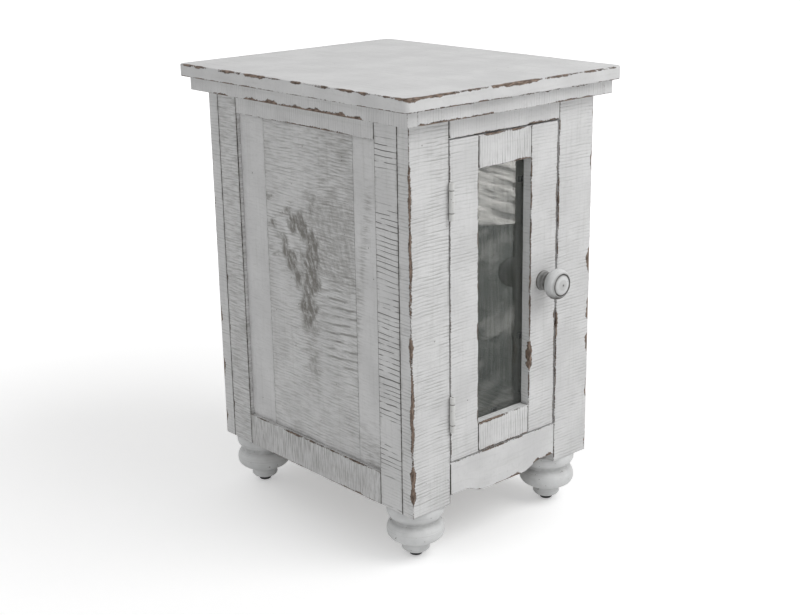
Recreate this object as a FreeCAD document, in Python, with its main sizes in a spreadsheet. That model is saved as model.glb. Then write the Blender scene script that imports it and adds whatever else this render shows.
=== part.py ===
import FreeCAD, Part
import Sketcher
import os
import re

# Storage side table: a painted wood case on four turned feet, with one glazed door.
# X runs to the right along the front, Y to the back, Z up from the floor.
# Millimetres. The origin lies on the floor under the middle of the case.

SIZES = {
    # case
    "body_width": 348,
    "body_depth": 432,
    "body_height": 535,
    "frame_thick": 22,
    "side_thick": 22,
    "front_stile_width": 69,
    "top_rail_show": 27,
    "apron_top": 61,
    "apron_end_lift": 13.4,
    "apron_middle_lift": 2.7,
    "apron_middle_half": 35,
    "apron_ogee_run": 45,
    "side_stile_width": 44,
    "side_bottom_rail": 48,
    "front_plank_width": 50,
    "rear_plank_width": 56,
    "panel_thick": 10,
    "panel_recess": 6,
    "groove_depth": 8,
    "groove_room": 1,
    "back_stile_width": 60,
    "back_bottom_rail": 60,
    "back_panel_thick": 6,
    "back_panel_recess": 8,
    "tenon_thick": 7,
    "tenon_length": 25,
    "tenon_shoulder": 8,
    "tenon_room": 1,
    "joint_play": 0.1,
    # top
    "cornice_height": 20,
    "cornice_thick": 18,
    "slab_thick": 18,
    "slab_overhang": 29,
    "slab_back_overhang": 31,
    "slab_corner_round": 8,
    "slab_edge_round": 3,
    "top_cleat_size": 20,
    "top_cleat_inset": 30,
    # floor of the case
    "floor_thick": 15,
    "floor_lip": 5,
    "floor_cleat_size": 20,
    "foot_block_size": 62,
    # turned feet
    "foot_height": 71,
    "foot_inset": 40,
    "foot_tenon_radius": 12.5,
    "foot_tenon_length": 36,
    "foot_tenon_room": 2,
    "collar_top_radius": 38.5,
    "collar_round": 27,
    "neck_radius": 35,
    "neck_depth": 25,
    "bead_radius": 37.2,
    "bead_depth": 28,
    "bead_round": 2.2,
    "quirk_radius": 36.4,
    "quirk_depth": 30,
    "bun_radius": 40,
    "bun_depth": 41,
    "ankle_radius": 19,
    "ankle_rise": 9,
    "pad_radius": 20.4,
    "pad_rise": 6.5,
    "pad_bottom_radius": 10,
    "pad_round": 10,
    # glides
    "glide_radius": 9,
    "glide_height": 8,
    "glide_round": 4,
    "glide_nail_radius": 1.6,
    "glide_nail_length": 14,
    # door
    "door_thick": 21,
    "hinge_gap": 1.5,
    "latch_gap": 3.5,
    "door_end_gap": 2,
    "door_stile_width": 52,
    "door_top_rail": 44,
    "door_bottom_rail": 42,
    "door_tenon_length": 30,
    "glass_thick": 4,
    "glass_setback": 15,
    "rebate_lip": 8,
    "glass_play": 1,
    # glass clips
    "clip_plate_thick": 2.5,
    "clip_width": 8,
    "clip_heel": 10,
    "clip_peep": 3.5,
    "clip_toe": 4,
    "clip_screw_reach": 5,
    "upper_clip_drop": 32,
    "lower_clip_rise": 100,
    # knob
    "knob_reach": 38.5,
    "rose_radius": 14,
    "rose_thick": 4,
    "rose_round": 6,
    "knob_neck_radius": 10.5,
    "knob_neck_end": 13,
    "knob_neck_round": 14,
    "knob_head_start": 20,
    "knob_back_radius": 17,
    "knob_head_radius": 21.5,
    "knob_head_middle": 28,
    "knob_face_radius": 16.5,
    "knob_face_height": 36.6,
    "ring_outer_radius": 16,
    "ring_inner_radius": 15,
    "ring_depth": 1.2,
    "dome_edge_radius": 14.4,
    "knob_screw_radius": 2,
    "knob_screw_bite": 22,
    "knob_screw_head_radius": 4.5,
    "knob_screw_head_thick": 2.5,
    # hinges
    "hinge_height": 50,
    "upper_hinge_drop": 79,
    "lower_hinge_rise": 70.5,
    "leaf_width": 17,
    "leaf_thick": 1.6,
    "leaf_gap": 0.3,
    "barrel_radius": 3.5,
    "barrel_stand": 4,
    "end_knuckle": 10,
    "knuckle_gap": 0.3,
    "pin_radius": 1.5,
    "pin_play": 0.05,
    "hinge_screw_spread": 15,
    "hinge_screw_setback": 10,
    # wood screws
    "screw_radius": 1.5,
    "screw_head_radius": 3,
    "screw_length": 14,
    "clip_screw_length": 12,
    "screw_play": 0.05,
    # magnetic catch
    "catch_width": 30,
    "catch_depth": 15,
    "catch_drop": 11,
    "catch_lap": 4,
    "catch_gap": 0.3,
    "catch_plate_thick": 4,
    "catch_plate_height": 22,
    "catch_screw_spread": 9,
    "magnet_width": 22,
    "magnet_depth": 9,
    "magnet_height": 7,
    "magnet_lift": 3,
    "magnet_play": 0.1,
    "strike_width": 34,
    "strike_height": 11,
    "strike_drop": 1,
    "strike_thick": 1.2,
    "strike_screw_length": 6,
    # length that a cutting shape runs past the face it opens
    "overrun": 5,
}

# Planes and spans that several pieces share, worked out from the sizes.
PLACES = {
    "left_face": "-body_width / 2",
    "right_face": "body_width / 2",
    "front_face": "-body_depth / 2",
    "back_face": "body_depth / 2",
    "frame_back": "front_face + frame_thick",
    "rear_frame": "back_face - frame_thick",
    "inside_left": "left_face + side_thick",
    "inside_right": "right_face - side_thick",
    "post_bottom": "foot_height + glide_height",
    "cornice_bottom": "post_bottom + body_height",
    "slab_bottom": "cornice_bottom + cornice_height",
    "rail_bottom": "cornice_bottom - top_rail_show",
    "opening_left": "left_face + front_stile_width",
    "opening_right": "right_face - front_stile_width",
    "opening_bottom": "post_bottom + apron_top",
    "floor_top": "opening_bottom + floor_lip",
    "floor_bottom": "floor_top - floor_thick",
    "side_front_edge": "frame_back + side_stile_width",
    "side_rear_edge": "rear_frame - side_stile_width",
    "side_panel_bottom": "post_bottom + side_bottom_rail",
    "back_left_edge": "left_face + back_stile_width",
    "back_right_edge": "right_face - back_stile_width",
    "back_panel_bottom": "post_bottom + back_bottom_rail",
    "door_left": "opening_left + hinge_gap",
    "door_right": "opening_right - latch_gap",
    "door_bottom": "opening_bottom + door_end_gap",
    "door_top": "rail_bottom - door_end_gap",
    "door_back": "front_face + door_thick",
    "window_left": "door_left + door_stile_width",
    "window_right": "door_right - door_stile_width",
    "window_bottom": "door_bottom + door_bottom_rail",
    "window_top": "door_top - door_top_rail",
    "glass_front": "front_face + glass_setback",
    "glass_back": "glass_front + glass_thick",
    "latch_middle": "door_right - door_stile_width / 2",
    "knob_middle": "(door_bottom + door_top) / 2",
    "upper_hinge": "door_top - upper_hinge_drop",
    "lower_hinge": "door_bottom + lower_hinge_rise",
    "upper_clip": "window_top - upper_clip_drop",
    "lower_clip": "window_bottom + lower_clip_rise",
    "window_middle": "(window_left + window_right) / 2",
    "hinge_x": "opening_left + hinge_gap / 2",
    "hinge_y": "front_face - barrel_stand",
    "leaf_end": "front_face + leaf_width",
    "catch_front": "door_back + strike_thick + catch_gap",
    "catch_left": "latch_middle - catch_width / 2",
    "catch_right": "latch_middle + catch_width / 2",
    "catch_bottom": "door_top - catch_drop",
    "catch_top": "rail_bottom + catch_lap",
    "catch_plate_top": "rail_bottom + catch_plate_height",
    "magnet_bottom": "catch_bottom + magnet_lift",
    "strike_bottom": "door_top - strike_drop - strike_height",
}

doc = FreeCAD.newDocument("storage_side_table")
sheet = doc.addObject("Spreadsheet::Sheet", "Sizes")
for row, (name, value) in enumerate(SIZES.items(), start=1):
    sheet.set("A%d" % row, name)
    sheet.set("B%d" % row, str(value))
    sheet.setAlias("B%d" % row, name)
doc.recompute()

reader = doc.addObject("App::VarSet", "Reader")
reader.addProperty("App::PropertyFloat", "reading")

nodes = {}

UP = (0, 0, 1)
DOWN = (0, 0, -1)
LEFT = (-1, 0, 0)
RIGHT = (1, 0, 0)
FORWARD = (0, -1, 0)
BACKWARD = (0, 1, 0)


def on_sheet(text):
    """The expression with every name followed back to the cells of the sheet."""
    def cell(match):
        name = match.group(0)
        if name in SIZES:
            return "Sizes." + name
        return "(" + on_sheet(PLACES[name]) + ")"
    return re.sub(r"[a-z][a-z_]+", cell, text)


def measure(text):
    """The value of an expression, in millimetres."""
    reader.setExpression("reading", on_sheet(text))
    reader.recompute()
    return reader.reading


def put(obj, x, y, z):
    """Bind the three coordinates of an object's place."""
    for axis, text in zip("xyz", (x, y, z)):
        obj.setExpression("Placement.Base." + axis, on_sheet(text))


def aim(obj, direction):
    """Point an object's own Z axis along a direction."""
    obj.Placement.Rotation = FreeCAD.Rotation(FreeCAD.Vector(UP), FreeCAD.Vector(direction))


def keep(obj):
    """Count an object as a sub-part of the table."""
    nodes[obj.Label] = obj
    return obj


def block(name, x, y, z):
    """Rectangular block between two bounds along each axis."""
    made = doc.addObject("Part::Box", name)
    for size, (low, high) in zip(("Length", "Width", "Height"), (x, y, z)):
        made.setExpression(size, on_sheet("(%s) - (%s)" % (high, low)))
    put(made, x[0], y[0], z[0])
    return made


def rod(name, radius, length, direction=UP):
    """Cylinder from its own origin, along a direction."""
    made = doc.addObject("Part::Cylinder", name)
    made.setExpression("Radius", on_sheet(radius))
    made.setExpression("Height", on_sheet(length))
    aim(made, direction)
    return made


def gather(name, pieces):
    """Several separate solids under one name."""
    made = doc.addObject("Part::Compound", name)
    made.Links = pieces
    return made


def join(name, base, tool):
    """One solid out of two."""
    made = doc.addObject("Part::Fuse", name)
    made.Base = base
    made.Tool = tool
    made.Refine = True
    return made


def cut(name, base, tools):
    """A solid less the shapes that are cut from it."""
    made = doc.addObject("Part::Cut", name)
    made.Base = base
    made.Tool = tools[0] if len(tools) == 1 else gather(name + "_cuts", tools)
    made.Refine = True
    return made


def grown(span, room):
    """Bounds moved apart by the same room at both ends."""
    return ("(%s) - (%s)" % (span[0], room), "(%s) + (%s)" % (span[1], room))


def middle(span, width):
    """Bounds of a given width in the middle of a span."""
    centre = "((%s) + (%s)) / 2" % span
    return ("%s - %s / 2" % (centre, width), "%s + %s / 2" % (centre, width))


def rail(name, x, y, z, along, length="tenon_length"):
    """Rail with a tenon at each end, and the shape that cuts its two mortises."""
    shoulder = "-tenon_shoulder"
    if along == "x":
        core = (grown(x, length), middle(y, "tenon_thick"), grown(z, shoulder))
        rooms = ("tenon_room", "joint_play", "joint_play")
    else:
        core = (middle(x, "tenon_thick"), grown(y, length), grown(z, shoulder))
        rooms = ("joint_play", "tenon_room", "joint_play")
    hole = [grown(span, room) for span, room in zip(core, rooms)]
    made = join(name + "_tenoned", block(name + "_board", x, y, z), block(name + "_tenons", *core))
    return made, block(name + "_mortises", *hole)


def body(name):
    """New body for a piece made from sketches."""
    return doc.addObject("PartDesign::Body", name)


def outline(part, plane, points, rounds=None):
    """Closed sketch on a plane of the body. Points are pairs of expressions. An entry in
    rounds is the radius of the arc that leaves that point, and the side it swells to as
    seen along the way: 1 for the left, -1 for the right."""
    sketch = part.newObject("Sketcher::SketchObject", part.Name + "_outline")
    planes = {item.Role: item for item in part.Origin.OriginFeatures}
    sketch.AttachmentSupport = (planes[plane], [""])
    sketch.MapMode = "FlatFace"
    spots = [FreeCAD.Vector(measure(across), measure(up), 0) for across, up in points]
    rounds = rounds or {}
    starts = []
    ends = []
    for index, spot in enumerate(spots):
        target = spots[(index + 1) % len(spots)]
        if index not in rounds:
            sketch.addGeometry(Part.LineSegment(spot, target))
            starts.append(1)
            ends.append(2)
            continue
        radius, side = rounds[index]
        chord = target - spot
        half = chord.Length / 2
        swell = measure(radius) - (measure(radius) ** 2 - half ** 2) ** 0.5
        leftward = FreeCAD.Vector(-chord.y, chord.x, 0).normalize()
        crown = spot + chord / 2 + leftward * (side * swell)
        sketch.addGeometry(Part.Arc(spot, crown, target))
        starts.append(2 if side > 0 else 1)
        ends.append(1 if side > 0 else 2)
    for index, (across, up) in enumerate(points):
        before = index - 1 if index else len(points) - 1
        start = starts[index]
        sketch.addConstraint(Sketcher.Constraint("Coincident", before, ends[before], index, start))
        for kind, ruler, text in (("DistanceX", -2, across), ("DistanceY", -1, up)):
            if text == "0":
                sketch.addConstraint(Sketcher.Constraint("PointOnObject", index, start, ruler))
                continue
            held = Sketcher.Constraint(kind, -1, 1, index, start, measure(text))
            number = sketch.addConstraint(held)
            sketch.renameConstraint(number, "%s_%d" % (kind, index))
            sketch.setExpression("Constraints.%s_%d" % (kind, index), on_sheet(text))
    for index, (radius, side) in rounds.items():
        number = sketch.addConstraint(Sketcher.Constraint("Radius", index, measure(radius)))
        sketch.renameConstraint(number, "Radius_%d" % index)
        sketch.setExpression("Constraints.Radius_%d" % index, on_sheet(radius))
    return sketch


def turned(name, plane, points, rounds=None):
    """Body turned about the upright axis of its sketch."""
    part = body(name)
    sketch = outline(part, plane, points, rounds)
    lathe = part.newObject("PartDesign::Revolution", name + "_turning")
    lathe.Profile = sketch
    lathe.ReferenceAxis = (sketch, ["V_Axis"])
    lathe.Angle = 360
    return part


def padded(name, plane, points, length, rounds=None):
    """Body of one outline, padded evenly to both sides of its plane."""
    part = body(name)
    sketch = outline(part, plane, points, rounds)
    pad = part.newObject("PartDesign::Pad", name + "_pad")
    pad.Profile = sketch
    pad.SideType = "Symmetric"
    pad.setExpression("Length", on_sheet(length))
    return part


def round_edges(part, wanted, radius):
    """Fillet on the edges of a body that a test picks."""
    doc.recompute()
    base = part.Tip
    picked = ["Edge%d" % (i + 1) for i, edge in enumerate(base.Shape.Edges) if wanted(edge)]
    fillet = part.newObject("PartDesign::Fillet", part.Name + "_round")
    fillet.Base = (base, picked)
    fillet.setExpression("Radius", on_sheet(radius))


def wood_screw(name, length, play):
    """Countersunk screw along its own +Z, its head's face at its origin."""
    head = doc.addObject("Part::Cone", name + "_head")
    head.setExpression("Radius1", on_sheet("screw_head_radius + " + play))
    head.setExpression("Radius2", on_sheet("screw_radius + " + play))
    head.setExpression("Height", on_sheet("leaf_thick"))
    return join(name, head, rod(name + "_shank", "screw_radius + " + play, length))


# Front frame: two stiles, a top rail behind the cornice and a scalloped apron.
front_span = ("front_face", "frame_back")
opening_span = ("opening_left", "opening_right")
post_span = ("post_bottom", "slab_bottom")
head_span = ("rail_bottom", "slab_bottom")

front_top, top_mortises = rail("front_top", opening_span, front_span, head_span, "x")

apron_lift = "apron_end_lift - apron_middle_lift"
ogee_radius = "(apron_ogee_run * apron_ogee_run + (%s) * (%s)) / (4 * (%s))" % ((apron_lift,) * 3)
ogee_end = "apron_middle_half + apron_ogee_run"
ogee_turn = "apron_middle_half + apron_ogee_run / 2"
ogee_height = "(apron_end_lift + apron_middle_lift) / 2"
apron_body = padded(
    "front_apron_board",
    "XZ_Plane",
    [
        ("opening_left", "apron_top"),
        ("opening_left", "apron_end_lift"),
        ("-(%s)" % ogee_end, "apron_end_lift"),
        ("-(%s)" % ogee_turn, ogee_height),
        ("-apron_middle_half", "apron_middle_lift"),
        ("apron_middle_half", "apron_middle_lift"),
        (ogee_turn, ogee_height),
        (ogee_end, "apron_end_lift"),
        ("opening_right", "apron_end_lift"),
        ("opening_right", "apron_top"),
    ],
    "frame_thick",
    {2: (ogee_radius, 1), 3: (ogee_radius, -1), 5: (ogee_radius, -1), 6: (ogee_radius, 1)},
)
put(apron_body, "0", "front_face + frame_thick / 2", "post_bottom")
apron_core = (
    grown(opening_span, "tenon_length"),
    middle(front_span, "tenon_thick"),
    ("post_bottom + apron_end_lift + tenon_shoulder", "opening_bottom - tenon_shoulder"),
)
apron_tenons = block("front_apron_tenons", *apron_core)
apron_mortises = block(
    "front_apron_mortises",
    grown(apron_core[0], "tenon_room"),
    grown(apron_core[1], "joint_play"),
    grown(apron_core[2], "joint_play"),
)
keep(join("front_apron", apron_body, apron_tenons))

# Hinges: each has a leaf let into the front stile, a leaf let into the door, and a pin.
hinge_middles = {"upper": "upper_hinge", "lower": "lower_hinge"}
leaf_rows = ("-hinge_screw_spread", "hinge_screw_spread")
frame_lets = []
door_lets = []
frame_screws = []
door_screws = []
frame_pilots = []
door_pilots = []
leaf_let = "leaf_thick + leaf_gap / 2 - hinge_gap / 2"


def hinge_screws(name, face_x, height, direction, play, length):
    """Two screws in one leaf, driven sideways into the wood."""
    made = []
    for number, offset in enumerate(leaf_rows):
        screw = wood_screw("%s_%d" % (name, number), length, play)
        aim(screw, direction)
        put(screw, face_x, "front_face + hinge_screw_setback", "%s + (%s)" % (height, offset))
        made.append(screw)
    return made


for place, centre in hinge_middles.items():
    low = centre + " - hinge_height / 2"
    high = centre + " + hinge_height / 2"
    centre_low = low + " + end_knuckle"
    centre_high = high + " - end_knuckle"
    ends = ((low, centre_low), (centre_high, high))
    inner = (centre_low + " + knuckle_gap", centre_high + " - knuckle_gap")
    leaf_sides = {
        "frame": ("hinge_x - leaf_gap / 2 - leaf_thick", "hinge_x - leaf_gap / 2", LEFT),
        "door": ("hinge_x + leaf_gap / 2", "hinge_x + leaf_gap / 2 + leaf_thick", RIGHT),
    }
    own_knuckles = {"frame": (inner,), "door": ends}
    other_knuckles = {
        "frame": [grown(span, "knuckle_gap") for span in ends],
        "door": [(centre_low, centre_high)],
    }
    for side, (leaf_low, leaf_high, direction) in leaf_sides.items():
        name = "hinge_%s_%s_leaf" % (place, side)
        shape = block(name + "_plate", (leaf_low, leaf_high), ("hinge_y", "leaf_end"), (low, high))
        clear_end = "hinge_y + barrel_radius + knuckle_gap"
        notches = []
        for number, (start, stop) in enumerate(other_knuckles[side]):
            notches.append(block(
                "%s_notch_%d" % (name, number),
                grown((leaf_low, leaf_high), "overrun"),
                ("hinge_y - overrun", clear_end),
                (start, stop),
            ))
        shape = cut(name + "_notched", shape, notches)
        for number, (start, stop) in enumerate(own_knuckles[side]):
            length = "(%s) - (%s)" % (stop, start)
            knuckle = rod("%s_knuckle_%d" % (name, number), "barrel_radius", length)
            put(knuckle, "hinge_x", "hinge_y", start)
            shape = join("%s_joined_%d" % (name, number), shape, knuckle)
        bore = rod(name + "_bore", "pin_radius + pin_play", "hinge_height")
        put(bore, "hinge_x", "hinge_y", low)
        face_x = leaf_high if side == "frame" else leaf_low
        spot = (face_x, centre, direction)
        sinks = hinge_screws(name + "_sink", *spot, "screw_play", "screw_length")
        keep(cut(name, shape, [bore] + sinks))
        screws = hinge_screws(name + "_screw", *spot, "0", "screw_length")
        pilots = hinge_screws(name + "_pilot", *spot, "screw_play", "screw_length + tenon_room")
        let_x = ("opening_left - (%s)" % leaf_let, "opening_left + overrun")
        if side == "door":
            let_x = ("door_left - overrun", "door_left + " + leaf_let)
        let = block(
            name + "_let",
            let_x,
            ("front_face - overrun", "leaf_end + joint_play"),
            grown((low, high), "joint_play"),
        )
        if side == "frame":
            frame_lets.append(let)
            frame_screws.extend(screws)
            frame_pilots.extend(pilots)
        else:
            door_lets.append(let)
            door_screws.extend(screws)
            door_pilots.extend(pilots)
    pin = rod("hinge_%s_pin" % place, "pin_radius", "hinge_height")
    put(pin, "hinge_x", "hinge_y", low)
    keep(pin)
keep(gather("frame_hinge_screws", frame_screws))
keep(gather("door_hinge_screws", door_screws))

stile_left = block("front_stile_left_board", ("left_face", "opening_left"), front_span, post_span)
keep(cut("front_stile_left", stile_left, [top_mortises, apron_mortises] + frame_lets + frame_pilots))
right_span = ("opening_right", "right_face")
stile_right = block("front_stile_right_board", right_span, front_span, post_span)
keep(cut("front_stile_right", stile_right, [top_mortises, apron_mortises]))

# Sides: frame and panel, each panel of three planks glued edge to edge and let into grooves.
panel_depth = "panel_recess + panel_thick"
side_boards = {
    "left": ("left_face", "inside_left"),
    "right": ("inside_right", "right_face"),
}
side_panels = {
    "left": ("left_face + panel_recess", "left_face + " + panel_depth),
    "right": ("right_face - (%s)" % panel_depth, "right_face - panel_recess"),
}
for side, across in side_boards.items():
    name = "side_%s" % side
    panel_x = side_panels[side]
    between = ("side_front_edge", "side_rear_edge")
    low_span = ("post_bottom", "side_panel_bottom")
    top_rail, upper_holes = rail(name + "_top", across, between, head_span, "y")
    low_rail, lower_holes = rail(name + "_low", across, between, low_span, "y")
    groove = block(
        name + "_groove",
        grown(panel_x, "joint_play"),
        grown(between, "groove_depth"),
        ("side_panel_bottom - groove_depth", "rail_bottom + groove_depth"),
    )
    keep(cut(name + "_top_rail", top_rail, [groove]))
    keep(cut(name + "_bottom_rail", low_rail, [groove]))
    fore = block(name + "_fore_board", across, ("frame_back", "side_front_edge"), post_span)
    rear = block(name + "_rear_board", across, ("side_rear_edge", "rear_frame"), post_span)
    keep(cut(name + "_front_stile", fore, [groove, upper_holes, lower_holes]))
    keep(cut(name + "_rear_stile", rear, [groove, upper_holes, lower_holes]))
    tongue = "groove_depth - groove_room"
    plank_height = ("side_panel_bottom - groove_depth", "rail_bottom + " + tongue)
    first_joint = "side_front_edge + front_plank_width"
    second_joint = "side_rear_edge - rear_plank_width"
    planks = {
        "front": ("side_front_edge - (%s)" % tongue, first_joint),
        "centre": (first_joint, second_joint),
        "rear": (second_joint, "side_rear_edge + " + tongue),
    }
    for plank, along in planks.items():
        keep(block("%s_plank_%s" % (name, plank), panel_x, along, plank_height))

# Back: the same frame, with one thin panel.
rear_span = ("rear_frame", "back_face")
back_between = ("back_left_edge", "back_right_edge")
back_low_span = ("post_bottom", "back_panel_bottom")
back_top, back_upper_holes = rail("back_top", back_between, rear_span, head_span, "x")
back_low, back_lower_holes = rail("back_low", back_between, rear_span, back_low_span, "x")
back_panel_outside = "back_face - back_panel_recess"
back_panel_y = (back_panel_outside + " - back_panel_thick", back_panel_outside)
back_groove = block(
    "back_groove",
    grown(back_between, "groove_depth"),
    grown(back_panel_y, "joint_play"),
    ("back_panel_bottom - groove_depth", "rail_bottom + groove_depth"),
)
keep(cut("back_top_rail", back_top, [back_groove]))
keep(cut("back_bottom_rail", back_low, [back_groove]))
back_posts = {"left": ("left_face", "back_left_edge"), "right": ("back_right_edge", "right_face")}
for side, across in back_posts.items():
    post = block("back_%s_board" % side, across, rear_span, post_span)
    keep(cut("back_stile_" + side, post, [back_groove, back_upper_holes, back_lower_holes]))
keep(block(
    "back_panel",
    grown(back_between, "groove_depth - groove_room"),
    back_panel_y,
    ("back_panel_bottom - groove_depth", "rail_bottom + groove_depth - groove_room"),
))

# Cornice: four square strips nailed round the head of the case. The side strips run through.
cornice_z = ("cornice_bottom", "slab_bottom")
cornice_run = ("front_face - cornice_thick", "back_face + cornice_thick")
case_width = ("left_face", "right_face")
keep(block("cornice_left", ("left_face - cornice_thick", "left_face"), cornice_run, cornice_z))
keep(block("cornice_right", ("right_face", "right_face + cornice_thick"), cornice_run, cornice_z))
keep(block("cornice_front", case_width, ("front_face - cornice_thick", "front_face"), cornice_z))
keep(block("cornice_back", case_width, ("back_face", "back_face + cornice_thick"), cornice_z))

# Top: one slab with softened corners, held by two cleats inside the case.
slab_left = "left_face - slab_overhang"
slab_right = "right_face + slab_overhang"
slab_front = "front_face - slab_overhang"
slab_back = "back_face + slab_back_overhang"
slab = padded(
    "top_slab",
    "XY_Plane",
    [(slab_left, slab_front), (slab_right, slab_front), (slab_right, slab_back), (slab_left, slab_back)],
    "slab_thick",
)
put(slab, "0", "0", "slab_bottom + slab_thick / 2")


def upright(edge):
    """Whether an edge of the slab runs up through its thickness."""
    return abs(edge.Vertexes[0].Z - edge.Vertexes[-1].Z) > measure("slab_thick") / 2


def on_top(edge):
    """Whether an edge of the slab lies in its upper face, above the slab's middle plane."""
    return all(vertex.Z > 0 for vertex in edge.Vertexes)


round_edges(slab, upright, "slab_corner_round")
round_edges(slab, on_top, "slab_edge_round")
keep(slab)


def cleats(name, size, run, height):
    """A square cleat along the inside of each side of the case."""
    left = block(name + "_left", ("inside_left", "inside_left + " + size), run, height)
    right = block(name + "_right", ("inside_right - " + size, "inside_right"), run, height)
    return gather(name + "s", [left, right])


keep(cleats(
    "top_cleat",
    "top_cleat_size",
    ("frame_back + top_cleat_inset", "rear_frame - top_cleat_inset"),
    ("slab_bottom - top_cleat_size", "slab_bottom"),
))

# Floor of the case, on two cleats and on the four blocks that hold the feet.
keep(block(
    "floor_panel",
    ("inside_left", "inside_right"),
    ("frame_back", "rear_frame"),
    ("floor_bottom", "floor_top"),
))
keep(cleats(
    "floor_cleat",
    "floor_cleat_size",
    ("frame_back + foot_block_size", "rear_frame - foot_block_size"),
    ("floor_bottom - floor_cleat_size", "floor_bottom"),
))

# Feet: turned with a tenon that is glued into the block above, and a nailed glide below.
foot_points = [
    ("0", "foot_tenon_length"),
    ("foot_tenon_radius", "foot_tenon_length"),
    ("foot_tenon_radius", "0"),
    ("collar_top_radius", "0"),
    ("neck_radius", "-neck_depth"),
    ("bead_radius", "-bead_depth"),
    ("quirk_radius", "-quirk_depth"),
    ("bun_radius", "-bun_depth"),
    ("ankle_radius", "ankle_rise - foot_height"),
    ("pad_radius", "pad_rise - foot_height"),
    ("pad_bottom_radius", "-foot_height"),
    ("glide_nail_radius + screw_play", "-foot_height"),
    ("glide_nail_radius + screw_play", "glide_nail_length + screw_play - foot_height"),
    ("0", "glide_nail_length + screw_play - foot_height"),
]
bun_rise = "bun_depth - quirk_depth"
bun_swell = "bun_radius - quirk_radius"
bun_fall = "foot_height - ankle_rise - bun_depth"
bun_draw = "bun_radius - ankle_radius"


def square_round(run, rise):
    """Radius of an arc that leaves one end square to its rise and covers run and rise."""
    return "((%s) * (%s) + (%s) * (%s)) / (2 * (%s))" % (run, run, rise, rise, rise)


foot_rounds = {
    3: ("collar_round", 1),
    4: ("bead_round", 1),
    6: (square_round(bun_rise, bun_swell), 1),
    7: (square_round(bun_fall, bun_draw), 1),
    9: ("pad_round", 1),
}
glide_points = [
    ("0", "glide_nail_length"),
    ("glide_nail_radius", "glide_nail_length"),
    ("glide_nail_radius", "0"),
    ("glide_radius", "0"),
    ("glide_radius", "glide_round - glide_height"),
    ("glide_radius - glide_round", "-glide_height"),
    ("0", "-glide_height"),
]
foot_corners = {
    "front_left": ("left_face + foot_inset", "front_face + foot_inset"),
    "front_right": ("right_face - foot_inset", "front_face + foot_inset"),
    "rear_left": ("left_face + foot_inset", "back_face - foot_inset"),
    "rear_right": ("right_face - foot_inset", "back_face - foot_inset"),
}
block_x = {
    "left": ("inside_left", "inside_left + foot_block_size"),
    "right": ("inside_right - foot_block_size", "inside_right"),
}
block_y = {
    "front": ("frame_back", "frame_back + foot_block_size"),
    "rear": ("rear_frame - foot_block_size", "rear_frame"),
}
foot_blocks = []
glides = []
for corner, (foot_x, foot_y) in foot_corners.items():
    end, side = corner.split("_")
    foot = turned("foot_" + corner, "XZ_Plane", foot_points, foot_rounds)
    put(foot, foot_x, foot_y, "post_bottom")
    keep(foot)
    glide = turned("glide_" + corner, "XZ_Plane", glide_points, {4: ("glide_round", 1)})
    put(glide, foot_x, foot_y, "glide_height")
    glides.append(glide)
    socket_depth = "foot_tenon_length + foot_tenon_room"
    socket = rod("socket_" + corner, "foot_tenon_radius + joint_play", socket_depth)
    put(socket, foot_x, foot_y, "post_bottom")
    name = "foot_block_" + corner
    blank = block(name + "_blank", block_x[side], block_y[end], ("post_bottom", "floor_bottom"))
    foot_blocks.append(cut(name, blank, [socket]))
keep(gather("foot_blocks", foot_blocks))
keep(gather("glides", glides))

# Door: mortised frame with a pane of glass in a rebate at the back.
door_y = ("front_face", "door_back")
window_x = ("window_left", "window_right")
door_z = ("door_bottom", "door_top")
door_head = ("window_top", "door_top")
door_foot = ("door_bottom", "window_bottom")
door_top, door_upper_holes = rail("door_top", window_x, door_y, door_head, "x", "door_tenon_length")
door_low, door_lower_holes = rail("door_low", window_x, door_y, door_foot, "x", "door_tenon_length")
rebate = block(
    "door_rebate",
    grown(window_x, "rebate_lip"),
    ("glass_front", "door_back + overrun"),
    grown(("window_bottom", "window_top"), "rebate_lip"),
)
keep(block(
    "door_glass",
    grown(window_x, "rebate_lip - glass_play"),
    ("glass_front", "glass_back"),
    grown(("window_bottom", "window_top"), "rebate_lip - glass_play"),
))

# Clips: black toes screwed to the back of the door, which press on the edge of the glass.
clip_reach = "rebate_lip + clip_peep"
clip_points = [
    ("-clip_heel", "0"),
    ("%s - clip_toe" % clip_reach, "0"),
    ("%s - clip_toe" % clip_reach, "glass_back - door_back"),
    (clip_reach, "glass_back - door_back"),
    (clip_reach, "clip_plate_thick"),
    ("-clip_heel", "clip_plate_thick"),
]
clip_edge_left = "window_left - rebate_lip"
clip_edge_right = "window_right + rebate_lip"
clip_spots = {
    "left_low": (clip_edge_left, "lower_clip", RIGHT),
    "left_high": (clip_edge_left, "upper_clip", RIGHT),
    "right_low": (clip_edge_right, "lower_clip", LEFT),
    "right_high": (clip_edge_right, "upper_clip", LEFT),
    "bottom": ("window_middle", "window_bottom - rebate_lip", UP),
    "top": ("window_middle", "window_top + rebate_lip", DOWN),
}
clips = []
clip_screws = []
clip_pilots = {"left": [], "right": [], "bottom": [], "top": []}


def clip_screw(name, length, play, x, z):
    """Screw driven forward into the back of the door, flush with the clip."""
    screw = wood_screw(name, length, play)
    aim(screw, FORWARD)
    put(screw, x, "door_back + clip_plate_thick", z)
    return screw


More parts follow.
